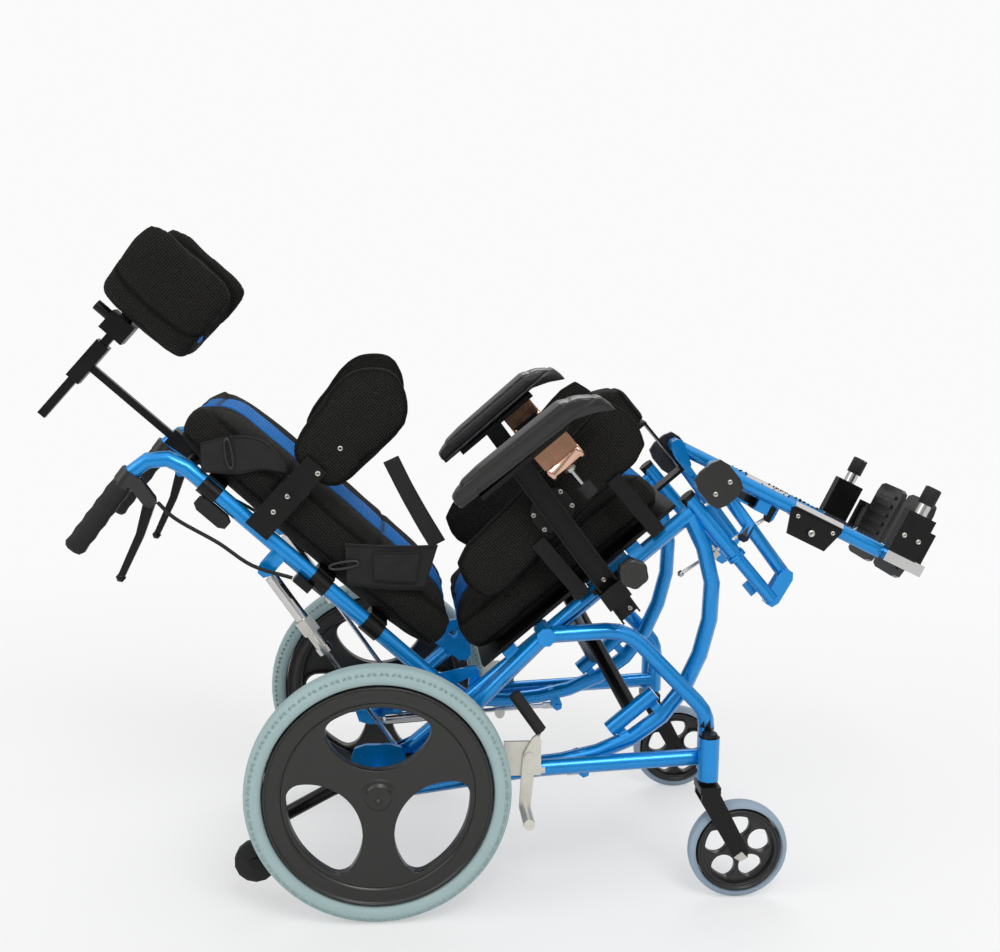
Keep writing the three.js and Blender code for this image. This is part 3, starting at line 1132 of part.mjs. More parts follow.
function supportRodBody() {
  const r = supportRod;
  const h = hanger;
  const [s, n] = legPlace(leg.lugT, leg.lugN);
  const toClutch = new THREE.Vector2(h.clutchS - s, h.clutchN - n).rotateAround(
    new THREE.Vector2(), THREE.MathUtils.degToRad(legDrop));
  toClutch.setLength(r.length);
  const from = [leg.lugT, r.y, leg.lugN];
  const end = [leg.lugT + toClutch.x, r.y, leg.lugN + toClutch.y];
  const rod = bar(r.radius, from, end, smallSides);
  const eye = crossBar(r.ballRadius, leg.lugT, leg.lugN, r.y - r.radius, leg.lugIn - clearance, tubeSides);
  const ball = solid(new THREE.SphereGeometry(r.ballRadius, 6, 5).translate(...end));
  const bore = crossBar(boreFor(pinRadius / 2), leg.lugT, leg.lugN, r.y - 3 * r.radius, leg.lugOut, smallSides);
  return cut(join(rod, eye, ball), bore);
}

function legSlide() {
  const d = slide;
  const rod = bar(d.radius, [d.tip, leg.y, 0], [d.end, leg.y, 0]);
  const bracket = block([d.blockFrom, d.blockIn, d.blockLow], [d.blockTo, d.blockOut, d.blockHigh]);
  const saddle = block([d.blockFrom, leg.y - d.radius, -d.radius], [d.blockTo, d.blockOut, d.radius + overrun]);
  const mid = (d.blockIn + d.blockOut) / 2;
  const stub = bar(d.stubRadius, [d.stubT, mid, d.blockHigh - overrun], [d.stubT, mid, d.stubHigh]);
  const cap = bar(d.capRadius, [d.stubT, mid, d.stubHigh - overrun], [d.stubT, mid, d.capHigh]);
  const ears = [[d.hingeLow - d.radius, d.hingeLow - clearance], [d.hingeHigh + clearance, d.hingeHigh + d.radius]]
    .map(([low, high]) => join(
      bar(foot.eyeRadius, [d.hingeT, d.hingeY, low], [d.hingeT, d.hingeY, high]),
      block([d.hingeT - foot.eyeRadius, d.hingeY, low], [d.hingeT + foot.eyeRadius / 2, leg.y, high]),
    ));
  const carrier = block([d.blockTo - overrun, leg.y - d.radius, -d.radius],
    [d.hingeT + foot.eyeRadius / 2, d.blockOut, d.radius]);
  const upright = block([d.hingeT - foot.eyeRadius, leg.y - overrun, -d.radius],
    [d.hingeT + foot.eyeRadius / 2, leg.y + d.radius, d.hingeHigh + d.radius]);
  const pin = bar(d.hingeRadius, [d.hingeT, d.hingeY, d.hingeLow - d.radius],
    [d.hingeT, d.hingeY, d.hingeHigh + d.radius], smallSides);
  return join(rod, bracket, saddle, stub, cap, ...ears, carrier, upright, pin);
}

// The foot plate with ribs across its face, hinged along its outer edge.
function footPlate() {
  const f = foot;
  const d = slide;
  const x = d.hingeT;
  const outline = rounded([[f.low, f.inner], [f.high, f.inner], [f.high, f.outer - f.eyeRadius],
    [f.low, f.outer - f.eyeRadius]], f.corner);
  const acrossLeg = new THREE.Matrix4().makeBasis(
    new THREE.Vector3(0, 1, 0), new THREE.Vector3(0, 0, 1), new THREE.Vector3(1, 0, 0));
  const shape = new THREE.Shape(outline.map(([n, y]) => new THREE.Vector2(y, n)));
  const sheet = solid(new THREE.ExtrudeGeometry(shape, { depth: f.thick, bevelEnabled: false })
    .applyMatrix4(acrossLeg).translate(x - f.thick / 2, 0, 0));
  const step = (f.high - f.low - 2 * f.corner) / (f.ribs - 1);
  const ribs = [];
  for (let i = 0; i < f.ribs; i += 1) {
    const n = f.low + f.corner + i * step;
    ribs.push(block([x - f.thick / 2 - f.ribHigh, f.inner + f.corner, n - step / 5],
      [x, f.outer - 2 * f.eyeRadius, n + step / 5]));
  }
  const eye = bar(f.eyeRadius, [x, d.hingeY, d.hingeLow], [x, d.hingeY, d.hingeHigh]);
  const tongue = block([x - f.thick / 2, f.outer - 2 * f.eyeRadius, d.hingeLow], [x + f.thick / 2, d.hingeY,
    d.hingeHigh]);
  const bore = bar(boreFor(d.hingeRadius), [x, d.hingeY, d.hingeLow - overrun],
    [x, d.hingeY, d.hingeHigh + overrun], smallSides);
  return cut(join(sheet, ...ribs, eye, tongue), bore);
}

function calfPad() {
  const c = calf;
  const pad = cushion([c.from, c.inner, c.low], [c.to, c.outer, c.high], c.edge, [5, 4, 2], (share, point) => {
    const dome = (1 - share.x ** 2) * (1 - share.y ** 2);
    point.z += ((share.z + 1) / 2) * c.dish * (dome - 1);
    return point;
  });
  const backing = block([c.backFrom, c.inner + c.edge, c.backLow], [c.backTo, leg.calfIn + c.edge, c.low + c.edge]);
  return join(pad, backing);
}

// The scene: a chair group, two mirrored sides, the tilting seat, the reclining back and the leg rests.
const chair = new THREE.Group();
chair.position.x = -axleBack;
const part = new THREE.Group();
part.add(chair);

function sideGroup(parent, side) {
  const group = new THREE.Group();
  group.scale.y = side;
  parent.add(group);
  return group;
}

const seatGroup = new THREE.Group();
seatGroup.position.set(pivotX, 0, pivotZ);
seatGroup.rotation.y = -THREE.MathUtils.degToRad(seatTilt);
chair.add(seatGroup);
const backGroup = new THREE.Group();
backGroup.position.set(hingeS, 0, hingeN);
backGroup.rotation.y = -THREE.MathUtils.degToRad(backLean);
seatGroup.add(backGroup);
const legGroup = new THREE.Group();
legGroup.position.set(kneeS, 0, kneeN);
legGroup.rotation.y = THREE.MathUtils.degToRad(legDrop);
seatGroup.add(legGroup);

function placed(group, x, y, z) {
  const inner = new THREE.Group();
  inner.position.set(x, y, z);
  group.add(inner);
  return inner;
}

for (const [name, side] of [["right", -1], ["left", 1]]) {
  const w = rearWheel;
  const ground = sideGroup(chair, side);
  named(ground, `base_frame_${name}`, "blue", baseFrame());
  const hub = placed(ground, 0, w.halfTrack, w.axleZ);
  named(hub, `rear_wheel_${name}`, "wheel", rearWheelBody());
  named(hub, `rear_tyre_${name}`, "tyre", tyre(w.rimOuter + clearance, w.radius, w.tyreHalfWidth, w.segments));
  named(ground, `caster_fork_${name}`, "black", casterFork());
  named(placed(ground, caster.x, caster.y, caster.radius), `caster_wheel_${name}`, "wheel", casterWheel());
  named(placed(ground, antiTip.wheelX, antiTip.wheelY, antiTip.wheelZ), `anti_tip_wheel_${name}`, "rubber",
    antiTipWheel());
  named(ground, `parking_brake_${name}`, "zinc", parkingBrake());
  named(ground, `tilt_cylinder_${name}`, "chrome", tiltCylinder());
  named(ground, `tilt_rod_${name}`, "chrome", tiltRod());

  const seatSide = sideGroup(seatGroup, side);
  named(seatSide, `seat_frame_${name}`, "blue", seatFrame());
  named(seatSide, `arm_post_${name}`, "black", armPost());
  named(seatSide, `arm_pad_${name}`, "plastic", armPad());
  named(seatSide, `hip_pad_${name}`, "mesh", hipPad());
  named(seatSide, `leg_hanger_${name}`, "blue", hangerBody());

  const backSide = sideGroup(backGroup, side);
  named(backSide, `hand_grip_${name}`, "rubber", handGrip());
  named(backSide, `release_lever_${name}`, "plastic", releaseLever());
  named(backSide, `release_cable_${name}`, "rubber", releaseCable());
  named(backSide, `recline_cylinder_${name}`, "chrome", reclineCylinder());
  named(backSide, `recline_rod_${name}`, "chrome", reclineRod());
  named(backSide, `side_pad_${name}`, "mesh", sidePad());

  const legSide = sideGroup(legGroup, side);
  named(legSide, `leg_arm_${name}`, "blue", legArm());
  named(legSide, `support_rod_${name}`, "chrome", supportRodBody());
  named(legSide, `leg_slide_${name}`, "black", legSlide());
  named(legSide, `foot_plate_${name}`, "plastic", footPlate());
  named(legSide, `calf_pad_${name}`, "mesh", calfPad());
}
named(seatGroup, "cross_brace", "black", crossBrace());
named(seatGroup, "seat_board", "black", seatBoard());
named(seatGroup, "seat_cushion", "mesh", seatCushion());
named(seatGroup, "pommel", "mesh", pommel());
named(backGroup, "back_frame", "blue", backFrame());
named(backGroup, "back_cushion", "mesh", backCushion());
named(backGroup, "head_stalk", "black", headStalk());
named(backGroup, "head_bar", "black", headBar());
named(backGroup, "head_pad", "mesh", headPad());
named(sideGroup(backGroup, -1), "waist_strap", "plastic", lapBelt());

export default part;
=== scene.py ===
"""Dresses the tilt in space wheelchair: its camera, light, finishes and soft parts."""
import logging
import math
from collections.abc import Callable, Sequence
from dataclasses import dataclass, field
from enum import Enum

import bmesh
import bpy
from mathutils import Matrix, Vector


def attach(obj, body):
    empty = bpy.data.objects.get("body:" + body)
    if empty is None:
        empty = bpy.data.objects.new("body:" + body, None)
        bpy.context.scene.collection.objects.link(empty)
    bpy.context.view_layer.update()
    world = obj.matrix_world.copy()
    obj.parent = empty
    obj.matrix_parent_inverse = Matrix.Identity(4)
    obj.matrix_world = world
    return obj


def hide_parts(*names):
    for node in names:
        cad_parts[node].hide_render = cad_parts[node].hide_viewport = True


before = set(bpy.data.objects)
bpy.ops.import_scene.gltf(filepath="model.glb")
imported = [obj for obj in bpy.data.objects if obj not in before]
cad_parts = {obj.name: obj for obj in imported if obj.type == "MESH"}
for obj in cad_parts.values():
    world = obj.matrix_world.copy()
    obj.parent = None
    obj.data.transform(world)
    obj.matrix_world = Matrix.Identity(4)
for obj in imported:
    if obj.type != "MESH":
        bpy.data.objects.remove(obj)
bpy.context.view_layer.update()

LOG = logging.getLogger("wheelchair")
MM = 0.001
AXIS = 0.01  # how near to its axis a turned body's outline ends, in millimetres
SIDES = {"right": -1, "left": 1}


@dataclass(frozen=True)
class Plane:
    """The axes of one side view, placed in the chair: along, sideways and up, in millimetres."""

    x: float
    z: float
    turn: float

    def matrix(self) -> Matrix:
        """The placing of these axes in the chair, for coordinates in metres."""
        return Matrix.Translation((self.x * MM, 0, self.z * MM)) @ Matrix.Rotation(
            -math.radians(self.turn), 4, "Y")

    def at(self, along: float, y: float, up: float) -> Vector:
        """A point given in these axes, in the chair's own metres."""
        return self.matrix() @ Vector((along * MM, y * MM, up * MM))

    def to(self, along: float, y: float, up: float) -> Matrix:
        """Moves what is drawn about nothing to a point of these axes, and turns it with them."""
        return self.matrix() @ Matrix.Translation((along * MM, y * MM, up * MM))

    def carried(self, along: float, up: float, turn: float) -> "Plane":
        """Axes placed in these ones and turned further."""
        spot = self.at(along, 0, up) / MM
        return Plane(spot.x, spot.z, self.turn + turn)


GROUND = Plane(-185.1, 0, 0)
SEAT = Plane(70.9, 422, 40.5)
BACK = SEAT.carried(-178.3, 36, 7.7)
LEG = SEAT.carried(369, 12, -66.4)


class Shade(Enum):
    """The colours of the chair, as linear red, green and blue."""

    BLUE = (0.0, 0.25, 0.66)
    BLACK = (0.0035, 0.0035, 0.0033)
    CHARCOAL = (0.014, 0.0132, 0.0122)
    RUBBER = (0.012, 0.012, 0.012)
    MESH = (0.0105, 0.0102, 0.0092)
    PANEL = (0.001, 0.15, 0.5)
    TYRE = (0.36, 0.48, 0.48)
    TREAD = (0.26, 0.36, 0.36)
    SMALL_TYRE = (0.3, 0.38, 0.46)
    CHROME = (0.6, 0.595, 0.59)
    WARM_CHROME = (0.72, 0.45, 0.34)
    # a darker copy of the warm chrome: painted shade on the top block of the arm clamp
    COPPER_PAINTED_SHADE = (0.36, 0.2, 0.13)
    ZINC = (0.62, 0.6, 0.55)
    CREAM = (0.72, 0.7, 0.62)
    SKIN = (0.009, 0.0088, 0.0082)
    CLOTH = (0.022, 0.0205, 0.019)
    WEBBING = (0.014, 0.014, 0.014)


def rgba(shade: Shade, gain: float = 1.0) -> tuple[float, float, float, float]:
    """The colour with its alpha, made lighter or darker by gain."""
    return (*(min(1.0, c * gain) for c in shade.value), 1.0)


class Tree:
    """A node tree that is filled one node at a time."""

    def __init__(self, tree: bpy.types.NodeTree) -> None:
        """Keeps the tree."""
        self.tree = tree

    def add(self, kind: str, inputs: dict | None = None, **settings: object) -> bpy.types.Node:
        """Adds a node.

        Args:
            kind: the node's type name.
            inputs: socket name or index to a value, or to the socket that feeds it.
            settings: properties of the node itself.

        Returns:
            The new node.
        """
        node = self.tree.nodes.new(kind)
        for name, value in settings.items():
            setattr(node, name, value)
        for name, value in (inputs or {}).items():
            self.feed(node.inputs[name], value)
        return node

    def maths(self, operation: str, *values: object) -> bpy.types.NodeSocket:
        """The result of a maths node over numbers or sockets."""
        return self.add("ShaderNodeMath", dict(enumerate(values)), operation=operation).outputs[0]

    def ramp(self, value: bpy.types.NodeSocket, low: float, high: float) -> bpy.types.NodeSocket:
        """A value taken from low and high to 0 and 1, and held there."""
        return self.add("ShaderNodeMapRange", {"Value": value, "From Min": low, "From Max": high},
                        interpolation_type="SMOOTHSTEP").outputs[0]

    def feed(self, socket: bpy.types.NodeSocket, value: object) -> None:
        """Gives an input a fixed value, or links it to the socket that feeds it."""
        if isinstance(value, bpy.types.NodeSocket):
            self.tree.links.new(value, socket)
        else:
            socket.default_value = value

    def blend(self, factor: object, first: object, second: object) -> bpy.types.NodeSocket:
        """A mix of two colours."""
        node = self.add("ShaderNodeMix", {"Factor": factor}, data_type="RGBA")
        for name, value in (("A", first), ("B", second)):
            self.feed(next(s for s in node.inputs if s.name == name and s.type == "RGBA"), value)
        return next(s for s in node.outputs if s.type == "RGBA")


def group(name: str, inputs: dict[str, float], outputs: Sequence[str],
          fill: Callable[[Tree, bpy.types.Node, bpy.types.Node], None]) -> bpy.types.NodeTree:
    """A shader node group of number sockets.

    Args:
        name: the group's name.
        inputs: each input's name and usual value.
        outputs: the names of the outputs.
        fill: builds the inside from the tree and its input and output nodes.

    Returns:
        The group.
    """
    made = bpy.data.node_groups.new(name, "ShaderNodeTree")
    for label, value in inputs.items():
        socket = made.interface.new_socket(label, in_out="INPUT", socket_type="NodeSocketFloat")
        socket.default_value = value
    for label in outputs:
        made.interface.new_socket(label, in_out="OUTPUT", socket_type="NodeSocketFloat")
    inner = Tree(made)
    fill(inner, inner.add("NodeGroupInput"), inner.add("NodeGroupOutput"))
    return made


def object_place(tree: Tree, scale: object) -> bpy.types.NodeSocket:
    """The point in the object's own metres, multiplied by scale."""
    place = tree.add("ShaderNodeTexCoord").outputs["Object"]
    return tree.add("ShaderNodeVectorMath", {0: place, "Scale": scale}, operation="SCALE").outputs[0]


def flat_place(tree: Tree, scale: object) -> bpy.types.NodeSocket:
    """The scaled point in the seat's own axes, laid flat along the axis that the face looks down."""
    given = tree.add("ShaderNodeTexCoord")
    turn = (0.0, math.radians(SEAT.turn), 0.0)
    spot = tree.add("ShaderNodeMapping", {"Vector": given.outputs["Object"], "Rotation": turn})
    scaled = tree.add("ShaderNodeVectorMath", {0: spot.outputs[0], "Scale": scale}, operation="SCALE")
    facing = tree.add("ShaderNodeMapping", {"Vector": given.outputs["Normal"], "Rotation": turn})
    size = tree.add("ShaderNodeVectorMath", {0: facing.outputs[0]}, operation="ABSOLUTE")
    parts = tree.add("ShaderNodeSeparateXYZ", {0: size.outputs[0]}).outputs
    most = tree.maths("MAXIMUM", parts[0], tree.maths("MAXIMUM", parts[1], parts[2]))
    kept = tree.add("ShaderNodeCombineXYZ", {i: tree.maths("LESS_THAN", parts[i], most) for i in range(3)})
    return tree.add("ShaderNodeVectorMath", {0: scaled.outputs[0], 1: kept.outputs[0]},
                    operation="MULTIPLY").outputs[0]


def fill_weave(tree: Tree, given: bpy.types.Node, result: bpy.types.Node) -> None:
    """Fills the honeycomb of a spacer fabric: open cells between raised threads."""
    place = flat_place(tree, given.outputs["Cells per metre"])
    cells = tree.add("ShaderNodeTexVoronoi", {"Vector": place, "Scale": 1.0, "Randomness": 0.35},
                     feature="DISTANCE_TO_EDGE")
    thread = tree.maths("SUBTRACT", 1.0, tree.ramp(cells.outputs["Distance"], 0.04, 0.3))
    fuzz = tree.add("ShaderNodeTexNoise", {"Vector": place, "Scale": 2.6, "Detail": 2.0})
    height = tree.maths("MULTIPLY_ADD", fuzz.outputs[0], 0.25, thread)
    tree.feed(result.inputs["Thread"], thread)
    tree.feed(result.inputs["Height"], height)


def fill_mottle(tree: Tree, given: bpy.types.Node, result: bpy.types.Node) -> None:
    """Fills a slow unevenness with a fine grain over it."""
    place = object_place(tree, given.outputs["Per metre"])
    slow = tree.add("ShaderNodeTexNoise", {"Vector": place, "Scale": 1.0, "Detail": 4.0, "Roughness": 0.6})
    fine = tree.add("ShaderNodeTexNoise", {"Vector": place, "Scale": 34.0, "Detail": 3.0})
    tree.feed(result.inputs["Slow"], slow.outputs[0])
    tree.feed(result.inputs["Fine"], fine.outputs[0])


def fill_scuffs(tree: Tree, given: bpy.types.Node, result: bpy.types.Node) -> None:
    """Fills thin scratches and dull patches of handled metal or plastic."""
    place = object_place(tree, given.outputs["Per metre"])
    drawn = tree.add("ShaderNodeMapping", {"Vector": place, "Scale": (1.0, 9.0, 1.4),
                                           "Rotation": (0.5, 0.3, 0.9)})
    lines = tree.add("ShaderNodeTexNoise", {"Vector": drawn.outputs[0], "Scale": 5.0, "Detail": 5.0})
    patch = tree.add("ShaderNodeTexNoise", {"Vector": place, "Scale": 1.3, "Detail": 2.0})
    thin = tree.ramp(lines.outputs[0], 0.6, 0.72)
    tree.feed(result.inputs["Scratch"], tree.maths("MULTIPLY", thin, patch.outputs[0]))
    tree.feed(result.inputs["Patch"], patch.outputs[0])


COAT_ROUGH = 0.08
SEAM_DARKENING = 0.75


@dataclass(frozen=True)
class Finish:
    """One finish: its colours, how it shines and how its surface is broken up.

    The scale is how often its effect repeats in a metre, bump_mm how high it stands, and spread
    how much darker and lighter its colour gets.
    """

    name: str
    shade: Shade
    effect: str = "mottle"
    scale: float = 12.0
    rough: tuple[float, float] = (0.3, 0.45)
    metallic: float = 0.0
    coat: float = 0.0
    bump: float = 0.1
    bump_mm: float = 0.2
    spread: tuple[float, float] = (0.85, 1.15)
    seams: bool = False
    shine: float = 0.3

    def build(self, groups: dict[str, bpy.types.NodeTree]) -> bpy.types.Material:
        """The material.

        Args:
            groups: the shared effects by name.

        Returns:
            The node material, ready to go on a piece.
        """
        material = bpy.data.materials.new(self.name)
        material.use_nodes = True
        material.node_tree.nodes.clear()
        material.diffuse_color = rgba(self.shade)
        tree = Tree(material.node_tree)
        effect = tree.add("ShaderNodeGroup", node_tree=groups[self.effect])
        effect.inputs[0].default_value = self.scale
        tone, height = self.pattern(tree, effect)
        colour = tree.blend(tone, rgba(self.shade, self.spread[0]), rgba(self.shade, self.spread[1]))
        if self.seams:
            seam = tree.add("ShaderNodeAttribute", attribute_name="seam").outputs["Fac"]
            sewn = tree.maths("MULTIPLY", seam, SEAM_DARKENING)
            colour = tree.blend(sewn, colour, rgba(Shade.BLACK, 0.5))
        rough = tree.add("ShaderNodeMapRange", {"Value": tone, "To Min": self.rough[0],
                                                "To Max": self.rough[1]}).outputs[0]
        bump = tree.add("ShaderNodeBump", {"Strength": self.bump, "Distance": self.bump_mm * MM,
                                           "Height": height})
        shader = tree.add("ShaderNodeBsdfPrincipled", {
            "Base Color": colour, "Roughness": rough, "Metallic": self.metallic,
            "Specular IOR Level": self.shine, "Coat Weight": self.coat, "Coat Roughness": COAT_ROUGH,
            "Normal": bump.outputs[0]})
        tree.add("ShaderNodeOutputMaterial", {"Surface": shader.outputs[0]})
        return material

    def pattern(self, tree: Tree, effect: bpy.types.Node) -> tuple[bpy.types.NodeSocket, ...]:
        """The tone and the height that this finish takes from its effect."""
        if self.effect == "weave":
            return effect.outputs["Thread"], effect.outputs["Height"]
        if self.effect == "scuffs":
            return effect.outputs["Patch"], effect.outputs["Scratch"]
        return effect.outputs["Slow"], effect.outputs["Fine"]


@dataclass(frozen=True)
class Ribbed(Finish):
    """A fabric woven in fine ribs that run across a given way."""

    across: tuple[float, float, float] = (0.0, 1.0, 0.0)
    ribs: float = 420.0

    def pattern(self, tree: Tree, effect: bpy.types.Node) -> tuple[bpy.types.NodeSocket, ...]:
        """Ribs as a wave across the piece, with the fine grain between them."""
        place = tree.add("ShaderNodeTexCoord").outputs["Object"]
        way = tree.add("ShaderNodeVectorMath", {0: place, 1: self.across}, operation="DOT_PRODUCT")
        wave = tree.maths("SINE", tree.maths("MULTIPLY", way.outputs["Value"], self.ribs * 2 * math.pi))
        rib = tree.maths("MULTIPLY_ADD", wave, 0.5, 0.5)
        height = tree.maths("MULTIPLY_ADD", effect.outputs["Fine"], 0.4, rib)
        return rib, height


GROUPS: dict[str, bpy.types.NodeTree] = {}
MATERIALS: dict[str, bpy.types.Material] = {}
ALONG_SEAT = tuple(SEAT.matrix().to_3x3() @ Vector((1, 0, 0)))
ALONG_BACK = tuple(BACK.matrix().to_3x3() @ Vector((0, 0, 1)))
FINISHES = (
    Finish("frame_blue", Shade.BLUE, "scuffs", 22, (0.22, 0.32), 0.5, 0.6, 0.08, 0.1, (0.92, 1.1)),
    Finish("black_metal", Shade.BLACK, "scuffs", 30, (0.3, 0.48), 0.2, 0.1, 0.15, 0.1, (0.8, 1.5),
           shine=0.25),
    Finish("chrome", Shade.CHROME, "scuffs", 40, (0.08, 0.2), 1.0, 0.0, 0.06, 0.05, (0.9, 1.05)),
    Finish("warm_chrome", Shade.WARM_CHROME, "scuffs", 40, (0.1, 0.22), 1.0, 0.0, 0.06, 0.05, (0.85, 1.1)),
    # a darker copper finish: painted shade on the arm clamp's top block
    Finish("copper_painted_shade", Shade.COPPER_PAINTED_SHADE, "scuffs", 40, (0.2, 0.34), 1.0, 0.0, 0.1, 0.05, (0.8, 1.3)),
    Finish("zinc", Shade.ZINC, "mottle", 60, (0.28, 0.5), 1.0, 0.0, 0.2, 0.1, (0.8, 1.1)),
    Finish("cream_zinc", Shade.CREAM, "mottle", 45, (0.3, 0.5), 0.75, 0.0, 0.2, 0.1, (0.85, 1.1)),
    Finish("wheel_plastic", Shade.CHARCOAL, "mottle", 26, (0.28, 0.42), 0.0, 0.2, 0.25, 0.12, (0.8, 1.25),
           shine=0.4),
    Finish("tyre_grey", Shade.TYRE, "mottle", 20, (0.62, 0.8), 0.0, 0.0, 0.4, 0.25, (0.88, 1.06)),
    Finish("tread_grey", Shade.TREAD, "mottle", 20, (0.65, 0.8), 0.0, 0.0, 0.4, 0.25, (0.88, 1.06)),
    Finish("small_tyre", Shade.SMALL_TYRE, "mottle", 24, (0.5, 0.7), 0.0, 0.0, 0.3, 0.2, (0.88, 1.1)),
    Finish("rubber", Shade.RUBBER, "mottle", 34, (0.55, 0.75), 0.0, 0.0, 0.4, 0.25, (0.8, 1.3)),
    Finish("arm_skin", Shade.SKIN, "mottle", 28, (0.34, 0.5), 0.0, 0.25, 0.5, 0.35, (0.8, 1.35), shine=0.4),
    Finish("black_cable", Shade.BLACK, "mottle", 50, (0.4, 0.55), 0.0, 0.0, 0.2, 0.1, (0.8, 1.3)),
    Finish("spacer_mesh", Shade.MESH, "weave", 250, (0.7, 0.95), 0.0, 0.0, 1.0, 1.1, (0.3, 2.2),
           seams=True, shine=0.12),
    Finish("smooth_cloth", Shade.CLOTH, "mottle", 70, (0.6, 0.8), 0.0, 0.0, 0.4, 0.3, (0.75, 1.3),
           seams=True, shine=0.2),
    Ribbed("blue_panel", Shade.PANEL, "mottle", 40, (0.6, 0.85), 0.0, 0.0, 0.8, 0.7, (0.75, 1.1),
           seams=True, shine=0.15, across=ALONG_BACK, ribs=230),
    Ribbed("webbing", Shade.WEBBING, "mottle", 60, (0.45, 0.7), 0.0, 0.0, 0.8, 0.5, (0.6, 1.7),
           seams=True, shine=0.2, across=ALONG_SEAT, ribs=520),
)


def make_materials() -> None:
    """Builds the shared effects and then every finish."""
    GROUPS["weave"] = group("spacer_weave", {"Cells per metre": 330.0}, ("Thread", "Height"), fill_weave)
    GROUPS["mottle"] = group("mottle", {"Per metre": 12.0}, ("Slow", "Fine"), fill_mottle)
    GROUPS["scuffs"] = group("scuffs", {"Per metre": 20.0}, ("Patch", "Scratch"), fill_scuffs)
    for finish in FINISHES:
        MATERIALS[finish.name] = finish.build(GROUPS)


def linked(name: str, mesh: bpy.types.Mesh, *materials: str) -> bpy.types.Object:
    """A mesh as a new object of the scene, with its finishes."""
    mesh.name = name
    piece = bpy.data.objects.new(name, mesh)
    bpy.context.scene.collection.objects.link(piece)
    kept = [min(face.material_index, len(materials) - 1) for face in mesh.polygons]
    mesh.materials.clear()
    for material in materials:
        mesh.materials.append(MATERIALS[material])
    mesh.polygons.foreach_set("material_index", kept)
    return piece


def evaluated(piece: bpy.types.Object) -> bpy.types.Mesh:
    """The piece's mesh with its modifiers applied, as a new mesh."""
    graph = bpy.context.evaluated_depsgraph_get()
    return bpy.data.meshes.new_from_object(piece.evaluated_get(graph))


def baked(piece: bpy.types.Object) -> bpy.types.Object:
    """Applies every modifier of the piece and removes it."""
    made = evaluated(piece)
    piece.modifiers.clear()
    piece.data = made
    return piece


def smooth(mesh: bpy.types.Mesh) -> bpy.types.Mesh:
    """Shades every face of the mesh smooth."""
    mesh.polygons.foreach_set("use_smooth", [True] * len(mesh.polygons))
    return mesh


def mesh_of(maker: bmesh.types.BMesh, name: str) -> bpy.types.Mesh:
    """Turns a bmesh into a mesh with its faces outward, and frees it."""
    bmesh.ops.recalc_face_normals(maker, faces=maker.faces)
    mesh = bpy.data.meshes.new(name)
    maker.to_mesh(mesh)
    maker.free()
    return mesh


def mirrored(mesh: bpy.types.Mesh) -> bpy.types.Mesh:
    """A copy of the mesh on the other side of the chair."""
    made = mesh.copy()
    made.transform(Matrix.Scale(-1, 4, (0, 1, 0)))
    made.flip_normals()
    return made


def both_sides(mesh: bpy.types.Mesh) -> tuple[tuple[str, bpy.types.Mesh], ...]:
    """The right side's mesh and its mirrored twin, each with its side's name."""
    return ("right", mesh), ("left", mirrored(mesh))


def kept_side(mesh: bpy.types.Mesh, point: Vector, normal: Vector) -> bpy.types.Mesh:
    """The closed part of the mesh on the side of a plane that its normal points away from."""
    maker = bmesh.new()
    maker.from_mesh(mesh)
    everything = [*maker.verts, *maker.edges, *maker.faces]
    bmesh.ops.bisect_plane(maker, geom=everything, plane_co=point, plane_no=normal, clear_outer=True)
    bmesh.ops.holes_fill(maker, edges=maker.edges)
    return mesh_of(maker, "kept")


def spun(profile: Sequence[tuple[float, float]], steps: int) -> bpy.types.Mesh:
    """A body turned about the sideways axis.

    Args:
        profile: closed outline as radius and sideways distance, in millimetres.
        steps: the number of faces round the axis.

    Returns:
        The mesh, in metres, centred on the axis.
    """
    maker = bmesh.new()
    rings = []
    for i in range(steps):
        turn = 2 * math.pi * i / steps
        rings.append([maker.verts.new((r * MM * math.cos(turn), y * MM, r * MM * math.sin(turn)))
                      for r, y in profile])
    count = len(profile)
    for i, ring in enumerate(rings):
        after = rings[(i + 1) % steps]
        for j in range(count):
            k = (j + 1) % count
            maker.faces.new((ring[j], ring[k], after[k], after[j]))
    bmesh.ops.remove_doubles(maker, verts=maker.verts, dist=1e-6)
    return smooth(mesh_of(maker, "spun"))


def rounded_profile(corners: Sequence[tuple[float, float]], passes: int = 3) -> list[tuple[float, float]]:
    """A closed outline whose corners are cut off again and again until it is round."""
    points = list(corners)
    for _ in range(passes):
        cut = []
        for i, (x, y) in enumerate(points):
            u, v = points[(i + 1) % len(points)]
            cut += [(x * 0.75 + u * 0.25, y * 0.75 + v * 0.25), (x * 0.25 + u * 0.75, y * 0.25 + v * 0.75)]
        points = cut
    return points


def sheet_metal(loops: Sequence[Sequence[tuple[float, float]]], depth: float, edge: float) -> bpy.types.Mesh:
    """A flat body with holes and rounded edges, lying across the sideways axis.

    Args:
        loops: the outline and its holes as x and z, in millimetres.
        depth: its whole thickness.
        edge: how far its edges are rounded.

    Returns:
        The mesh, in metres, with its middle at y 0.
    """
    curve = bpy.data.curves.new("sheet", "CURVE")
    curve.dimensions = "2D"
    curve.fill_mode = "BOTH"
    curve.extrude = (depth / 2 - edge) * MM
    curve.bevel_depth = edge * MM
    curve.offset = -edge * MM
    curve.bevel_resolution = 2
    for loop in loops:
        spline = curve.splines.new("POLY")
        spline.points.add(len(loop) - 1)
        spline.points.foreach_set("co", [c for x, z in loop for c in (x * MM, z * MM, 0, 1)])
        spline.use_cyclic_u = True
    holder = bpy.data.objects.new("sheet", curve)
    bpy.context.scene.collection.objects.link(holder)
    mesh = evaluated(holder)
    bpy.data.objects.remove(holder)
    mesh.transform(Matrix.Rotation(math.pi / 2, 4, "X"))
    return smooth(mesh)


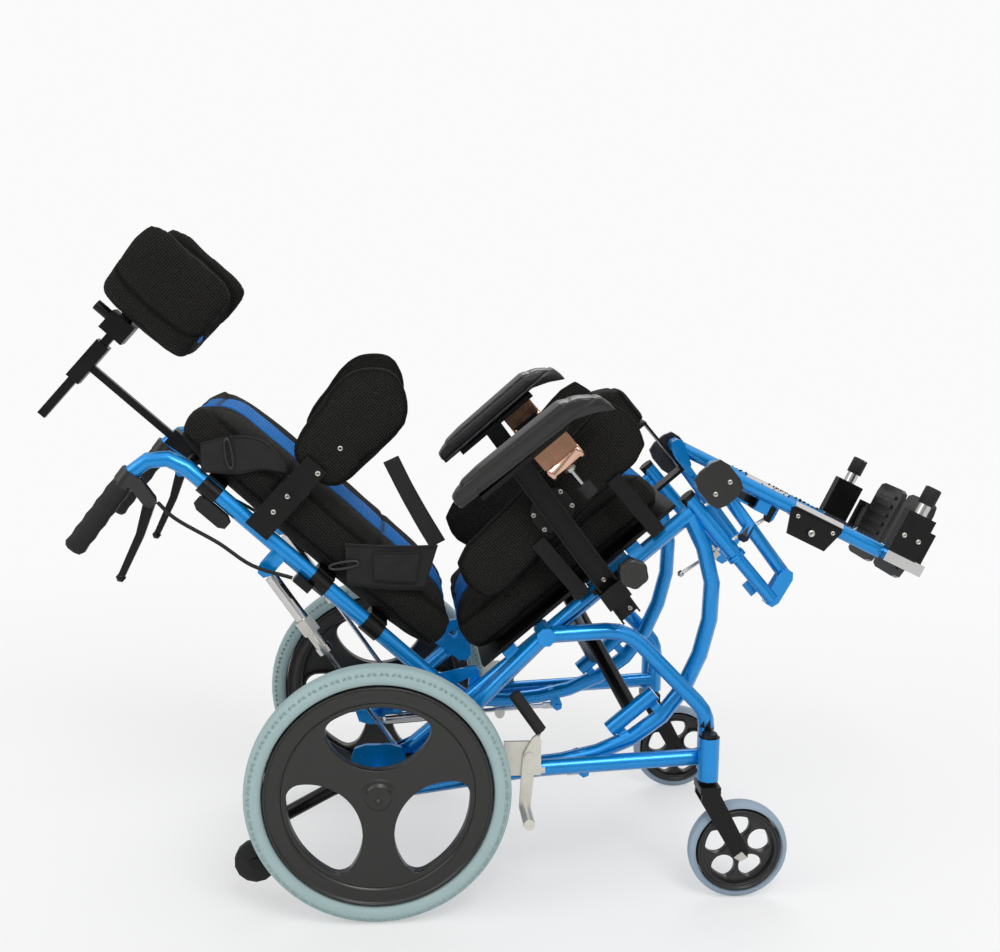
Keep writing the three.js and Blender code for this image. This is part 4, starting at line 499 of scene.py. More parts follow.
def joined(meshes: Sequence[bpy.types.Mesh]) -> bpy.types.Mesh:
    """Several meshes as one, each keeping its number as its material's index."""
    maker = bmesh.new()
    for index, mesh in enumerate(meshes):
        before = len(maker.faces)
        maker.from_mesh(mesh)
        maker.faces.ensure_lookup_table()
        for face in maker.faces[before:]:
            face.material_index = index
    made = bpy.data.meshes.new("joined")
    maker.to_mesh(made)
    maker.free()
    return made


def smoothing_group(limit: float) -> bpy.types.NodeTree:
    """Geometry nodes that shade smooth every edge flatter than limit, in degrees."""
    made = bpy.data.node_groups.new("smooth_by_angle", "GeometryNodeTree")
    made.interface.new_socket("Geometry", in_out="INPUT", socket_type="NodeSocketGeometry")
    made.interface.new_socket("Geometry", in_out="OUTPUT", socket_type="NodeSocketGeometry")
    tree = Tree(made)
    given = tree.add("NodeGroupInput")
    welded = tree.add("GeometryNodeMergeByDistance", {"Geometry": given.outputs[0], "Distance": 1e-5})
    angle = tree.add("GeometryNodeInputMeshEdgeAngle")
    sharp = tree.add("FunctionNodeCompare", {0: angle.outputs[0], 1: math.radians(limit)},
                     operation="GREATER_THAN")
    faces = tree.add("GeometryNodeSetShadeSmooth", {0: welded.outputs[0], 2: True}, domain="FACE")
    edges = tree.add("GeometryNodeSetShadeSmooth", {0: faces.outputs[0], 1: sharp.outputs[0], 2: False},
                     domain="EDGE")
    tree.add("NodeGroupOutput", {0: edges.outputs[0]})
    return made


def ring_group() -> bpy.types.NodeTree:
    """Geometry nodes that repeat a mesh round the sideways axis, a given number of times."""
    made = bpy.data.node_groups.new("ring_of_copies", "GeometryNodeTree")
    made.interface.new_socket("Geometry", in_out="INPUT", socket_type="NodeSocketGeometry")
    made.interface.new_socket("Count", in_out="INPUT", socket_type="NodeSocketInt")
    made.interface.new_socket("Material", in_out="INPUT", socket_type="NodeSocketMaterial")
    made.interface.new_socket("Geometry", in_out="OUTPUT", socket_type="NodeSocketGeometry")
    tree = Tree(made)
    given = tree.add("NodeGroupInput")
    spots = tree.add("GeometryNodeMeshLine", {"Count": given.outputs[1], "Offset": (0.0, 0.0, 0.0)})
    index = tree.add("GeometryNodeInputIndex").outputs[0]
    share = tree.maths("DIVIDE", index, given.outputs[1])
    turn = tree.add("ShaderNodeCombineXYZ", {"Y": tree.maths("MULTIPLY", share, 2 * math.pi)})
    copies = tree.add("GeometryNodeInstanceOnPoints", {"Points": spots.outputs[0],
                                                       "Instance": given.outputs[0],
                                                       "Rotation": turn.outputs[0]})
    real = tree.add("GeometryNodeRealizeInstances", {0: copies.outputs[0]})
    dressed = tree.add("GeometryNodeSetMaterial", {"Geometry": real.outputs[0],
                                                   "Material": given.outputs[2]})
    tree.add("NodeGroupOutput", {0: dressed.outputs[0]})
    return made


def ring_of(mesh: bpy.types.Mesh, count: int, material: str) -> bpy.types.Mesh:
    """The mesh repeated round the sideways axis."""
    holder = linked("ring", mesh, material)
    modifier = holder.modifiers.new("ring", "NODES")
    if "ring" not in GROUPS:
        GROUPS["ring"] = ring_group()
    modifier.node_group = GROUPS["ring"]
    names = {item.name: item.identifier for item in GROUPS["ring"].interface.items_tree
             if item.in_out == "INPUT"}
    modifier[names["Count"]] = count
    modifier[names["Material"]] = MATERIALS[material]
    made = evaluated(holder)
    bpy.data.objects.remove(holder)
    return made


@dataclass(frozen=True)
class Seam:
    """A sewn line where the piece meets a plane of its own axes.

    Axis and at give that plane, and within keeps the seam to a stretch of another axis.
    """

    axis: int
    at: float
    depth: float = 2.2
    width: float = 3.2
    within: tuple[int, float, float] | None = None

    def pull(self, spot: Vector) -> float:
        """How strongly the seam draws in a point, from 0 to 1."""
        if self.within and not self.within[1] <= spot[self.within[0]] <= self.within[2]:
            return 0.0
        return math.exp(-(((spot[self.axis] - self.at) / self.width) ** 2))


CLOTH_FRAMES = 14


@dataclass
class Pad:
    """A stuffed piece, blown up from its plain solid, with its seams drawn in.

    Voxel is the mesh's fineness, soften how many times it is rounded, shrink how far it is drawn in
    before it is blown up, cap the most that a point may move then, and wrinkle the depth of its ripple,
    all lengths in millimetres. Cut takes a part of the plain solid, and choose gives each face's finish.
    """

    node: str
    body: str
    plane: Plane
    seams: tuple[Seam, ...] = ()
    finishes: tuple[str, ...] = ("spacer_mesh",)
    slot: str = "spacer_mesh"
    voxel: float = 5.0
    soften: int = 8
    shrink: float = 3.0
    cap: float = 7.0
    fill: float = 0.7
    pressure: float = 4.0
    cut: Callable[[bpy.types.Mesh], bpy.types.Mesh] | None = None
    choose: Callable[[Vector, Vector], int] | None = None
    wrinkle: float = 0.8
    made: list[bpy.types.Object] = field(default_factory=list)

    def blown(self) -> bpy.types.Mesh:
        """The swollen and sewn mesh of this pad, in the chair's own place."""
        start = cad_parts[self.node].data.copy()
        if self.cut:
            start = self.cut(start)
        piece = linked(f"{self.node}_form", start)
        remesh = piece.modifiers.new("even", "REMESH")
        remesh.mode = "VOXEL"
        remesh.voxel_size = self.voxel * MM
        self.soften_by(piece, self.soften)
        baked(piece)
        bend_in(piece.data, self.shrink * MM)
        if self.pressure:
            self.inflate(piece)
            self.soften_by(piece, 3)
        finer = piece.modifiers.new("finer", "SUBSURF")
        finer.levels = 1
        baked(piece)
        mesh = piece.data
        bpy.data.objects.remove(piece)
        self.sew(mesh)
        return smooth(mesh)

    @staticmethod
    def soften_by(piece: bpy.types.Object, passes: int) -> None:
        """Adds a modifier that rounds the piece, more with each pass."""
        if passes:
            rounder = piece.modifiers.new("rounder", "SMOOTH")
            rounder.factor = 0.5
            rounder.iterations = passes

    def inflate(self, piece: bpy.types.Object) -> None:
        """Runs the cloth under pressure and keeps its shape, no point moving past the cap."""
        cloth = piece.modifiers.new("cloth", "CLOTH")
        settings = cloth.settings
        settings.use_pressure = True
        settings.uniform_pressure_force = self.pressure
        settings.effector_weights.gravity = 0
        settings.quality = 3
        before = [v.co.copy() for v in piece.data.vertices]
        scene = bpy.context.scene
        for number in range(1, CLOTH_FRAMES + 1):
            scene.frame_set(number)
        blown = evaluated(piece)
        piece.modifiers.clear()
        scene.frame_set(1)
        for vertex, place, after in zip(piece.data.vertices, before, blown.vertices):
            move = after.co - place
            if move.length > self.cap * MM:
                move *= self.cap * MM / move.length
            vertex.co = place + move
        bpy.data.meshes.remove(blown)

    def sew(self, mesh: bpy.types.Mesh) -> None:
        """Draws in the seams, marks them for the finish, and chooses each face's finish."""
        mark = mesh.attributes.new("seam", "FLOAT", "POINT")
        inverse = self.plane.matrix().inverted()
        values = []
        moved = []
        for vertex in mesh.vertices:
            spot = (inverse @ vertex.co) / MM
            pulls = [(seam.pull(spot), seam.depth) for seam in self.seams]
            values.append(min(1.0, max((p for p, _ in pulls), default=0.0)))
            depth = max((p * d for p, d in pulls), default=0.0)
            ripple = math.sin(spot.x * 0.11 + 1.7 * math.sin(spot.y * 0.07)) * math.sin(spot.z * 0.09 + 0.6)
            moved.append(vertex.co - vertex.normal * MM * (depth + self.wrinkle * (1 - ripple) / 2))
        for vertex, place in zip(mesh.vertices, moved):
            vertex.co = place
        mark.data.foreach_set("value", values)
        if self.choose:
            for face in mesh.polygons:
                spot = (inverse @ face.center) / MM
                facing = inverse.to_3x3() @ face.normal
                face.material_index = self.choose(spot, facing)

    def place(self, name: str, mesh: bpy.types.Mesh, body: str, node: str) -> bpy.types.Object:
        """Puts one finished pad on its body in place of its plain solid."""
        piece = linked(name, mesh, *self.finishes)
        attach(piece, body)
        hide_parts(node)
        self.made.append(piece)
        LOG.info("%s: %d faces on %s", name, len(mesh.polygons), body)
        return piece

    def build(self) -> list[bpy.types.Object]:
        """Builds the pad, and its mirrored twin where the chair has one."""
        mesh = self.blown()
        if not self.node.endswith("_right"):
            self.place(f"{self.node}_cover", mesh, self.body, self.node)
            return self.made
        other = mirrored(mesh)
        stem = self.node.removesuffix("_right")
        self.place(f"{stem}_cover_right", mesh, self.body, self.node)
        self.place(f"{stem}_cover_left", other, self.body.replace("_right", "_left"), f"{stem}_left")
        return self.made


def bend_in(mesh: bpy.types.Mesh, depth: float) -> None:
    """Moves every point of the mesh inward along its own normal."""
    moved = [vertex.co - vertex.normal * depth for vertex in mesh.vertices]
    for vertex, place in zip(mesh.vertices, moved):
        vertex.co = place


def ride_on(piece: bpy.types.Object, body: str, slot: str, *nodes: str) -> bpy.types.Object:
    """Sets a rigid piece on its body and hides the nodes that it stands for; the slot is not used."""
    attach(piece, body)
    if nodes:
        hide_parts(*nodes)
    LOG.info("%s: %d faces on %s", piece.name, len(piece.data.polygons), body)
    return piece


def circle_loop(radius: float, steps: int, x: float = 0, z: float = 0) -> list[tuple[float, float]]:
    """Points round a circle."""
    return [(x + radius * math.cos(2 * math.pi * i / steps), z + radius * math.sin(2 * math.pi * i / steps))
            for i in range(steps)]


@dataclass(frozen=True)
class WheelSizes:
    """What sets one kind of wheel, in millimetres."""

    radius: float
    rim_outer: float
    rim_inner: float
    rim_half: float
    hub_radius: float
    hub_half: float
    face_out: float
    face_thick: float
    windows: int
    window_radius: float
    window_centre: float
    window_start: float
    tyre_half: float
    cap_radius: float
    cap_out: float
    steps: int = 96


REAR = WheelSizes(
    radius=200, rim_outer=172, rim_inner=142, rim_half=17, hub_radius=34, hub_half=15, face_out=13,
    face_thick=6, windows=3, window_radius=84, window_centre=124, window_start=90, tyre_half=22,
    cap_radius=20, cap_out=19)
SMALL = WheelSizes(
    radius=79, rim_outer=67, rim_inner=56, rim_half=12, hub_radius=14, hub_half=18, face_out=3,
    face_thick=6, windows=5, window_radius=19, window_centre=37, window_start=90, tyre_half=14,
    cap_radius=8, cap_out=18.4, steps=64)
REAR_HALF_TRACK = 264
SMALL_HALF_TRACK = 224
WHEEL_BASE = 564
WINDOW_POINTS = 30


@dataclass(frozen=True)
class LugSizes:
    """A slanting bar of the tread on the tyre's shoulder, in millimetres, its turns in radians."""

    box: tuple[float, float, float] = (13, 2.4, 3.4)
    slant: float = 0.5
    lean: float = 0.42
    below_tread: float = 11.5
    inside_wall: float = 2.4
    apart: float = 12
    edge: float = 0.6


LUG = LugSizes()


@dataclass
class Wheel:
    """A moulded wheel with windows, a rim and a rubber tyre."""

    sizes: WheelSizes
    centre: Vector
    nodes: tuple[str, ...]
    body: str
    side: int
    tyre_finish: str
    lugs: int = 0

    def window(self, angle: float, grow: float = 0.0) -> list[tuple[float, float]]:
        """One window's outline: a circle cut off by the rim, with rounded corners."""
        s = self.sizes
        reach = s.rim_inner - 4 + grow
        middle = Vector((s.window_centre * math.cos(angle), s.window_centre * math.sin(angle)))
        points = []
        for i in range(WINDOW_POINTS):
            turn = angle + 2 * math.pi * i / WINDOW_POINTS
            ray = Vector((math.cos(turn), math.sin(turn)))
            far = s.window_radius + grow
            along = middle.dot(ray)
            gap = reach**2 - middle.length_squared + along**2
            if gap > 0:
                far = min(far, -along + math.sqrt(gap))
            points.append(tuple(middle + ray * far))
        return rounded_profile(points, 2)

    def face(self) -> bpy.types.Mesh:
        """The wheel's face with its windows, lying at its place across the axle."""
        s = self.sizes
        angles = [math.radians(s.window_start) + 2 * math.pi * i / s.windows for i in range(s.windows)]
        loops = [circle_loop(s.rim_inner + 3, s.steps), *(self.window(a) for a in angles)]
        sheet = sheet_metal(loops, s.face_thick, min(1.6, s.face_thick * 0.3))
        shift = (s.face_out - s.face_thick / 2) * self.side
        sheet.transform(Matrix.Translation((0, shift * MM, 0)))
        walls = []
        for angle in angles:
            wall = sheet_metal([self.window(angle, 3.4), self.window(angle)], s.rim_half, 0.8)
            inward = (s.face_out - s.rim_half / 2 - 1) * self.side
            wall.transform(Matrix.Translation((0, inward * MM, 0)))
            walls.append(wall)
        return joined([sheet, *walls])

    def rim(self) -> bpy.types.Mesh:
        """The rim: a stepped ring with a bead on each edge."""
        s = self.sizes
        h = s.rim_half
        outline = [(s.rim_inner, -h), (s.rim_inner, h * 0.9), (s.rim_inner + 4, h), (s.rim_outer - 9, h),
                   (s.rim_outer - 6, h - 3), (s.rim_outer - 4, h + 1.5), (s.rim_outer, h),
                   (s.rim_outer, -h), (s.rim_outer - 4, -h - 1.5), (s.rim_outer - 6, 3 - h)]
        return spun(rounded_profile(outline, 2), s.steps)

    def hub(self) -> bpy.types.Mesh:
        """The hub with its stepped cap."""
        s = self.sizes
        low, high = -s.hub_half, s.cap_out
        outline = [(AXIS, low), (s.hub_radius, low), (s.hub_radius, s.face_out - 2),
                   (s.cap_radius + 3, s.face_out + 1.5), (s.cap_radius, s.face_out + 2),
                   (s.cap_radius - 1, high - 1), (s.cap_radius - 4, high), (AXIS, high)]
        return spun([(r, y * self.side) for r, y in outline], s.steps)

    def tyre(self) -> bpy.types.Mesh:
        """The tyre's round section with a flat tread."""
        s = self.sizes
        h = s.tyre_half
        foot = s.rim_outer + 0.4
        outline = [(foot, -h * 0.62), (foot, h * 0.62), (foot + 5, h * 0.98), (s.radius - 10, h),
                   (s.radius - 1, h * 0.62), (s.radius, h * 0.3), (s.radius, -h * 0.3),
                   (s.radius - 1, -h * 0.62), (s.radius - 10, -h), (foot + 5, -h * 0.98)]
        return spun(rounded_profile(outline, 2), s.steps * 2)

    def lug(self, way: int) -> bpy.types.Mesh:
        """One side lug of the tread: a pair of slanting bars on the tyre's shoulder."""
        s = self.sizes
        maker = bmesh.new()
        for slant in (-LUG.slant, LUG.slant):
            bar = bmesh.ops.create_cube(maker, size=1.0)["verts"]
            bmesh.ops.scale(maker, vec=Vector(LUG.box) * MM, verts=bar)
            bmesh.ops.rotate(maker, verts=bar, matrix=Matrix.Rotation(slant, 3, "Y"))
            bmesh.ops.rotate(maker, verts=bar, matrix=Matrix.Rotation(LUG.lean * way, 3, "Z"))
            spot = Vector((s.radius - LUG.below_tread, way * (s.tyre_half - LUG.inside_wall),
                           slant * LUG.apart))
            bmesh.ops.translate(maker, verts=bar, vec=spot * MM)
        bmesh.ops.bevel(maker, geom=maker.edges[:], offset=LUG.edge * MM, segments=1, affect="EDGES")
        return mesh_of(maker, "lug")

    def build(self) -> None:
        """Makes the wheel and its tyre, and sets both on the axle."""
        body = joined([self.face(), self.rim(), self.hub()])
        shift = Matrix.Translation(self.centre)
        body.transform(shift)
        side = "right" if self.side < 0 else "left"
        stem = self.nodes[0].removesuffix(f"_{side}")
        wheel = linked(f"{stem}_moulding_{side}", body, "wheel_plastic")
        ride_on(wheel, self.body, "wheel_plastic", self.nodes[0])
        rings = [self.tyre()]
        for way in (-1, 1) if self.lugs else ():
            rings.append(ring_of(self.lug(way), self.lugs, "tread_grey"))
        rubber = joined(rings)
        rubber.transform(shift)
        tyre = linked(f"{stem}_rubber_{side}", rubber, self.tyre_finish, "tread_grey")
        ride_on(tyre, self.body, "grey_tyre", *self.nodes[1:])


def make_wheels() -> None:
    """Both rear wheels and both casters."""
    for name, side in SIDES.items():
        Wheel(REAR, GROUND.at(0, side * REAR_HALF_TRACK, REAR.radius),
              (f"rear_wheel_{name}", f"rear_tyre_{name}"), f"rear_wheel_{name}", side, "tyre_grey",
              lugs=66).build()
        Wheel(SMALL, GROUND.at(WHEEL_BASE, side * SMALL_HALF_TRACK, SMALL.radius),
              (f"caster_wheel_{name}",), f"caster_wheel_{name}", side, "small_tyre").build()


def curve_points(control: Sequence[Vector], steps: int) -> list[Vector]:
    """Points along the smooth curve that runs through the control points."""
    line = [control[0] * 2 - control[1], *control, control[-1] * 2 - control[-2]]
    points = []
    for i in range(1, len(line) - 2):
        p = line[i - 1:i + 3]
        gaps = [max((p[k + 1] - p[k]).length ** 0.5, 1e-5) for k in range(3)]
        start = (p[1] - p[0]) / gaps[0] - (p[2] - p[0]) / (gaps[0] + gaps[1]) + (p[2] - p[1]) / gaps[1]
        end = (p[2] - p[1]) / gaps[1] - (p[3] - p[1]) / (gaps[1] + gaps[2]) + (p[3] - p[2]) / gaps[2]
        start, end = start * gaps[1], end * gaps[1]
        for k in range(steps):
            t = k / steps
            points.append(p[1] * (2 * t**3 - 3 * t**2 + 1) + start * (t**3 - 2 * t**2 + t)
                          + p[2] * (3 * t**2 - 2 * t**3) + end * (t**3 - t**2))
    points.append(control[-1])
    return points


@dataclass(frozen=True)
class ReleaseCable:
    """The sheathed cable from each hand lever to the valve of its recline spring."""

    radius: float = 3.0
    route: tuple[tuple[float, float, float], ...] = (
        (-66, 160, 512.6), (-68, 160, 480), (-52, 168, 405), (-42, 181, 345), (-17, 181, 287.5))

    def build(self, name: str, side: int) -> None:
        """One side's cable, as a curve of one open spline."""
        points = curve_points([BACK.at(m, y * side, b) for m, y, b in self.route], 6)
        curve = bpy.data.curves.new(f"cable_sheath_{name}", "CURVE")
        curve.dimensions = "3D"
        curve.bevel_depth = self.radius * MM
        curve.bevel_resolution = 4
        curve.use_fill_caps = True
        spline = curve.splines.new("POLY")
        spline.points.add(len(points) - 1)
        spline.points.foreach_set("co", [c for p in points for c in (*p, 1.0)])
        spline.use_smooth = True
        curve.materials.append(MATERIALS["black_cable"])
        piece = bpy.data.objects.new(curve.name, curve)
        bpy.context.scene.collection.objects.link(piece)
        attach(piece, "back")
        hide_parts(f"release_cable_{name}")


CALF_BACKING_UP = -9.6  # the calf support's backing ends here, and its stuffed part starts above it
CALF_STUFFING_UP = -9.0


class Pads:
    """The cushions, supports and pads."""

    @staticmethod
    def stripe(axis: int, half: float) -> Callable[[Vector, Vector], int]:
        """Puts the second finish on the front face, in a stripe down the middle."""
        def choose(spot: Vector, facing: Vector) -> int:
            """The number of the face's finish: 0 for the main one, 1 for the stripe."""
            return int(abs(spot.y) < half and facing[axis] > 0.5)
        return choose

    @staticmethod
    def calf_top(mesh: bpy.types.Mesh) -> bpy.types.Mesh:
        """The stuffed part of the calf support, without its backing."""
        return kept_side(mesh, LEG.at(0, 0, CALF_STUFFING_UP), LEG.matrix().to_3x3() @ Vector((0, 0, -1)))

    @staticmethod
    def all() -> list[Pad]:
        """Every pad, with the seams that its cover has."""
        stripe_seams = tuple(Seam(1, y, 3.0, 3.0) for y in (-60, 60))
        fabric = ("spacer_mesh", "blue_panel")
        return [
            Pad("back_cushion", "back", BACK,
                (*stripe_seams, Seam(0, 36), Seam(0, 88), Seam(2, 215, 2.5, 5.0, (0, 60, 200)),
                 Seam(2, 395, 2.5, 5.0, (0, 60, 200))), fabric, cap=9.0, choose=Pads.stripe(0, 60)),
            Pad("seat_cushion", "seat", SEAT,
                (*stripe_seams, Seam(2, 36), Seam(2, 86), Seam(0, 90, 2.5, 5.0, (2, 60, 200))),
                fabric, cap=9.0, choose=Pads.stripe(2, 60)),
            Pad("head_pad", "head_pad", BACK,
                (*(Seam(1, y, 1.8) for y in (-84, 84)), *(Seam(1, y, 2.5) for y in (-40, 40))),
                fabric, voxel=4.0, soften=22, shrink=-5.0, cap=9.0, choose=Pads.stripe(0, 40)),
            Pad("side_pad_right", "back", BACK, (Seam(1, -156), Seam(1, -176)),
                voxel=4.0, soften=12, cap=6.0),
            Pad("hip_pad_right", "seat", SEAT, (Seam(1, -176), Seam(1, -190)), voxel=4.0, cap=5.0),
            Pad("pommel", "seat", SEAT, (Seam(0, 300), Seam(0, 336)), voxel=4.0),
            Pad("calf_pad_right", "leg_right", LEG, (Seam(2, 4), Seam(0, 118, 2.0), Seam(0, 186, 2.0)),
                ("smooth_cloth",), voxel=4.0, shrink=-7.0, cap=5.0, cut=Pads.calf_top),
            Pad("arm_pad_right", "arm_right", SEAT, (Seam(2, 250, 1.6, 1.6), Seam(2, 270.5, 1.2, 1.4)),
                ("arm_skin",), "arm_skin", voxel=2.6, shrink=0.2, soften=3, pressure=0.0, fill=1.0,
                wrinkle=0.0),
        ]

    @staticmethod
    def build() -> None:
        """Builds every pad and the backings of the calf supports."""
        for pad in Pads.all():
            pad.build()
        backing = kept_side(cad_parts["calf_pad_right"].data, LEG.at(0, 0, CALF_BACKING_UP),
                            LEG.matrix().to_3x3() @ Vector((0, 0, 1)))
        for name, mesh in both_sides(backing):
            piece = linked(f"calf_backing_{name}", mesh, "black_metal")
            bevel = piece.modifiers.new("edge", "BEVEL")
            bevel.width = 0.8 * MM
            bevel.limit_method = "ANGLE"
            baked(piece)
            ride_on(piece, f"leg_{name}", "black_metal")


@dataclass(frozen=True)
class Strap:
    """A flat woven strap between two edges, with sewn borders and a slight ripple."""

    name: str
    first: tuple[tuple[float, float, float], ...]
    second: tuple[tuple[float, float, float], ...]
    thick: float = 2.4
    plane: Plane = BACK
    body: str = "back"
    columns: int = 20
    steps: int = 10
    ripple: float = 0.5

    def mesh(self) -> bpy.types.Mesh:
        """The ribbon between the two edges, with its borders marked as seams."""
        maker = bmesh.new()
        low = curve_points([self.plane.at(*p) for p in self.first], self.steps)
        high = curve_points([self.plane.at(*p) for p in self.second], self.steps)
        columns = self.columns
        rows = []
        for i, (start, end) in enumerate(zip(low, high)):
            row = []
            for k in range(columns + 1):
                spot = start.lerp(end, k / columns)
                spot.y += self.ripple * MM * math.sin(i * 0.55 + 2 * math.sin(k * 0.23))
                row.append(maker.verts.new(spot))
            rows.append(row)
        for first, second in zip(rows, rows[1:]):
            for k in range(columns):
                maker.faces.new((first[k], first[k + 1], second[k + 1], second[k]))
        maker.verts.index_update()
        shades = [0.0] * len(maker.verts)
        for row in rows:
            for k in (1, columns - 1):
                shades[row[k].index] = 1.0
        mesh = mesh_of(maker, self.name)
        mark = mesh.attributes.new("seam", "FLOAT", "POINT")
        mark.data.foreach_set("value", shades)
        return smooth(mesh)

    def build(self, *nodes: str) -> bpy.types.Object:
        """Makes the strap and sets it on its body."""
        piece = linked(self.name, self.mesh(), "webbing")
        solid = piece.modifiers.new("thick", "SOLIDIFY")
        solid.thickness = self.thick * MM
        solid.offset = 0
        edge = piece.modifiers.new("edge", "BEVEL")
        edge.width = 0.5 * MM
        edge.limit_method = "ANGLE"
        baked(piece)
        return ride_on(piece, self.body, "webbing", *nodes)


def oblong(half_wide: float, half_long: float) -> list[tuple[float, float]]:
    """A rectangle about nothing with rounded corners."""
    return rounded_profile([(-half_wide, -half_long), (half_wide, -half_long),
                            (half_wide, half_long), (-half_wide, half_long)], 2)


def buckle_slot(name: str, along: float, up: float, turn: float, y: float = 171.0) -> bpy.types.Object:
    """A small flat ring of black plastic that a strap is threaded through."""
    ring = sheet_metal([oblong(7, 24), oblong(3, 20)], depth=4.0, edge=1.2)
    ring.transform(BACK.to(along, -y, up) @ Matrix.Rotation(-math.radians(turn), 4, "Y"))
    return ride_on(linked(name, ring, "wheel_plastic"), "back", "black_metal")


def make_straps() -> None:
    """The waist strap with its narrow end, and the chest strap that lies over the cushion's shoulder."""
    Strap("waist_strap_band", ((26, -168, 217), (48, -168, 184), (72, -168, 152), (98, -168, 123)),
          ((73, -168, 262), (103, -168, 224), (134, -168, 188), (165, -168, 154))).build("waist_strap")
    Strap("waist_strap_fold", ((58, -171.5, 190), (78, -172, 164), (98, -171.5, 140)),
          ((92, -171.5, 222), (116, -172, 194), (140, -171.5, 168))).build()
    Strap("waist_strap_end", ((153, -167, 160), (168, -168, 206), (186, -170, 255), (205, -172, 302)),
          ((178, -167, 151), (192, -168, 196), (209, -170, 245), (228, -172, 292))).build()
    Strap("chest_strap", ((46, -167, 524), (87, -168, 494), (110, -169, 459), (108, -169, 411)),
          ((13, -167, 494), (47, -168, 452), (76, -169, 429), (97, -169, 398))).build()
    buckle_slot("waist_strap_ring", 47, 241, 50)
    buckle_slot("chest_strap_ring", 62, 482, -40)


def rounded_block(low: Sequence[float], high: Sequence[float], edge: float) -> bpy.types.Mesh:
    """A block between two corners of the seat's axes, in millimetres, with rounded edges."""
    maker = bmesh.new()
    bmesh.ops.create_cube(maker, size=1.0)
    size = [b - a for a, b in zip(low, high)]
    middle = [(a + b) / 2 for a, b in zip(low, high)]
    bmesh.ops.scale(maker, vec=Vector(size) * MM, verts=maker.verts)
    bmesh.ops.translate(maker, vec=Vector(middle) * MM, verts=maker.verts)
    bmesh.ops.bevel(maker, geom=maker.edges[:], offset=edge * MM, segments=3, affect="EDGES")
    mesh = mesh_of(maker, "block")
    mesh.transform(SEAT.matrix())
    return mesh


@dataclass(frozen=True)
class ArmClamp:
    """The bright clamp under each arm pad: a block over a barrel with end rings, and its nut. The block is
    painted a darker copper, as shade on the clamp's top.
    """

    start: float = 162.0
    end: float = 225.0
    y: float = 244.0
    up: float = 199.0
    radius: float = 13.0
    block_y: tuple[float, float] = (227.0, 257.5)
    block_top: float = 240.0
    nut_y: float = 241.0
    nut_below: float = 5.0

    def build(self) -> None:
        """Both sides' clamps."""
        r, length = self.radius, self.end - self.start
        ring = [(AXIS, 0), (r - 4, 0), (r - 2.5, 1), (r - 0.6, 2.5), (r, 4), (r, 8), (r - 1, 9)]
        outline = [*ring, *((x, length - y) for x, y in reversed(ring))]
        barrel = spun(outline, 40)
        barrel.transform(SEAT.to(self.start, -self.y, self.up) @ Matrix.Rotation(-math.pi / 2, 4, "Z"))
        block = rounded_block((self.start + 1, -self.block_y[1], self.up + 8),
                              (self.end - 1, -self.block_y[0], self.block_top), 2.0)
        middle = (self.start + self.end) / 2
        nut = spun([(AXIS, 0), (8, 0), (8.5, 0.6), (8.5, 5.4), (8, 6), (AXIS, 6)], 6)
        nut.transform(SEAT.to(middle, -self.nut_y, self.up - self.radius - self.nut_below)
                      @ Matrix.Rotation(math.pi / 2, 4, "X"))
        nut.polygons.foreach_set("use_smooth", [False] * len(nut.polygons))
        for name, made in both_sides(joined([barrel, nut])):
            ride_on(linked(f"arm_clamp_{name}", made, "warm_chrome", "zinc"), f"arm_{name}", "chrome")
        # the top block takes the darker copper: painted shade on the clamp's top
        for name, made in both_sides(block):
            ride_on(linked(f"arm_clamp_block_{name}", made, "copper_painted_shade"), f"arm_{name}", "chrome")


HIP_PLATE_Y = 202.6


def make_hip_brackets() -> None:
    """The plate between each hip pad and its arm post."""
    loop = rounded_profile([(96, 116), (167, 116), (167, 176), (102, 176)], 2)
    plate = sheet_metal([loop], depth=3.0, edge=0.6)
    plate.transform(SEAT.to(0, -HIP_PLATE_Y, 0))
    for name, mesh in both_sides(plate):
        ride_on(linked(f"hip_bracket_{name}", mesh, "black_metal"), "seat", "black_metal")


def make_stub_caps() -> None:
    """The deep rubber cap on the stub of each foot rest's bracket."""
    cap = spun([(AXIS, 0), (12.4, 0), (13.2, 0.8), (13.2, 26), (12, 28.6), (10, 29.2), (AXIS, 29.2)], 40)
    cap.transform(LEG.to(326, -160, 97.5) @ Matrix.Rotation(math.pi / 2, 4, "X"))
    for name, mesh in both_sides(cap):
        ride_on(linked(f"stub_cap_{name}", mesh, "rubber"), f"leg_slide_{name}", "rubber")


@dataclass(frozen=True)
class LobedKnob:
    """A hand knob with rounded lobes, a waist behind them and a dished face."""

    name: str
    body: str
    along: float
    up: float
    inner: float
    outer: float
    radius: float = 23.0
    lobes: int = 6
    lobe_share: float = 0.045
    edge: float = 3.6

    def build(self) -> None:
        """Both sides' knobs."""
        steps = 12 * self.lobes
        loop = []
        for i in range(steps):
            turn = 2 * math.pi * i / steps
            reach = self.radius * (1 - self.lobe_share + self.lobe_share * math.cos(self.lobes * turn))
            loop.append((reach * math.cos(turn), reach * math.sin(turn)))
        depth = self.outer - self.inner
        head = sheet_metal([loop], depth, self.edge)
        head.transform(SEAT.to(self.along, -(self.inner + depth / 2), self.up))
        for side, mesh in both_sides(head):
            ride_on(linked(f"{self.name}_{side}", mesh, "wheel_plastic"), self.body, "rubber")


@dataclass(frozen=True)
class Region:
    """A block of space, in the axes of a plane and in millimetres, whose faces take another finish."""

    finish: str
    low: tuple[float, float, float]
    high: tuple[float, float, float]

    def holds(self, spot: Vector) -> bool:
        """Whether a point, measured outward from the chair's middle, lies in the block."""
        place = (spot.x, abs(spot.y), spot.z)
        return all(a <= p <= b for a, p, b in zip(self.low, place, self.high))


FAR = 2000.0  # past every side of the chair
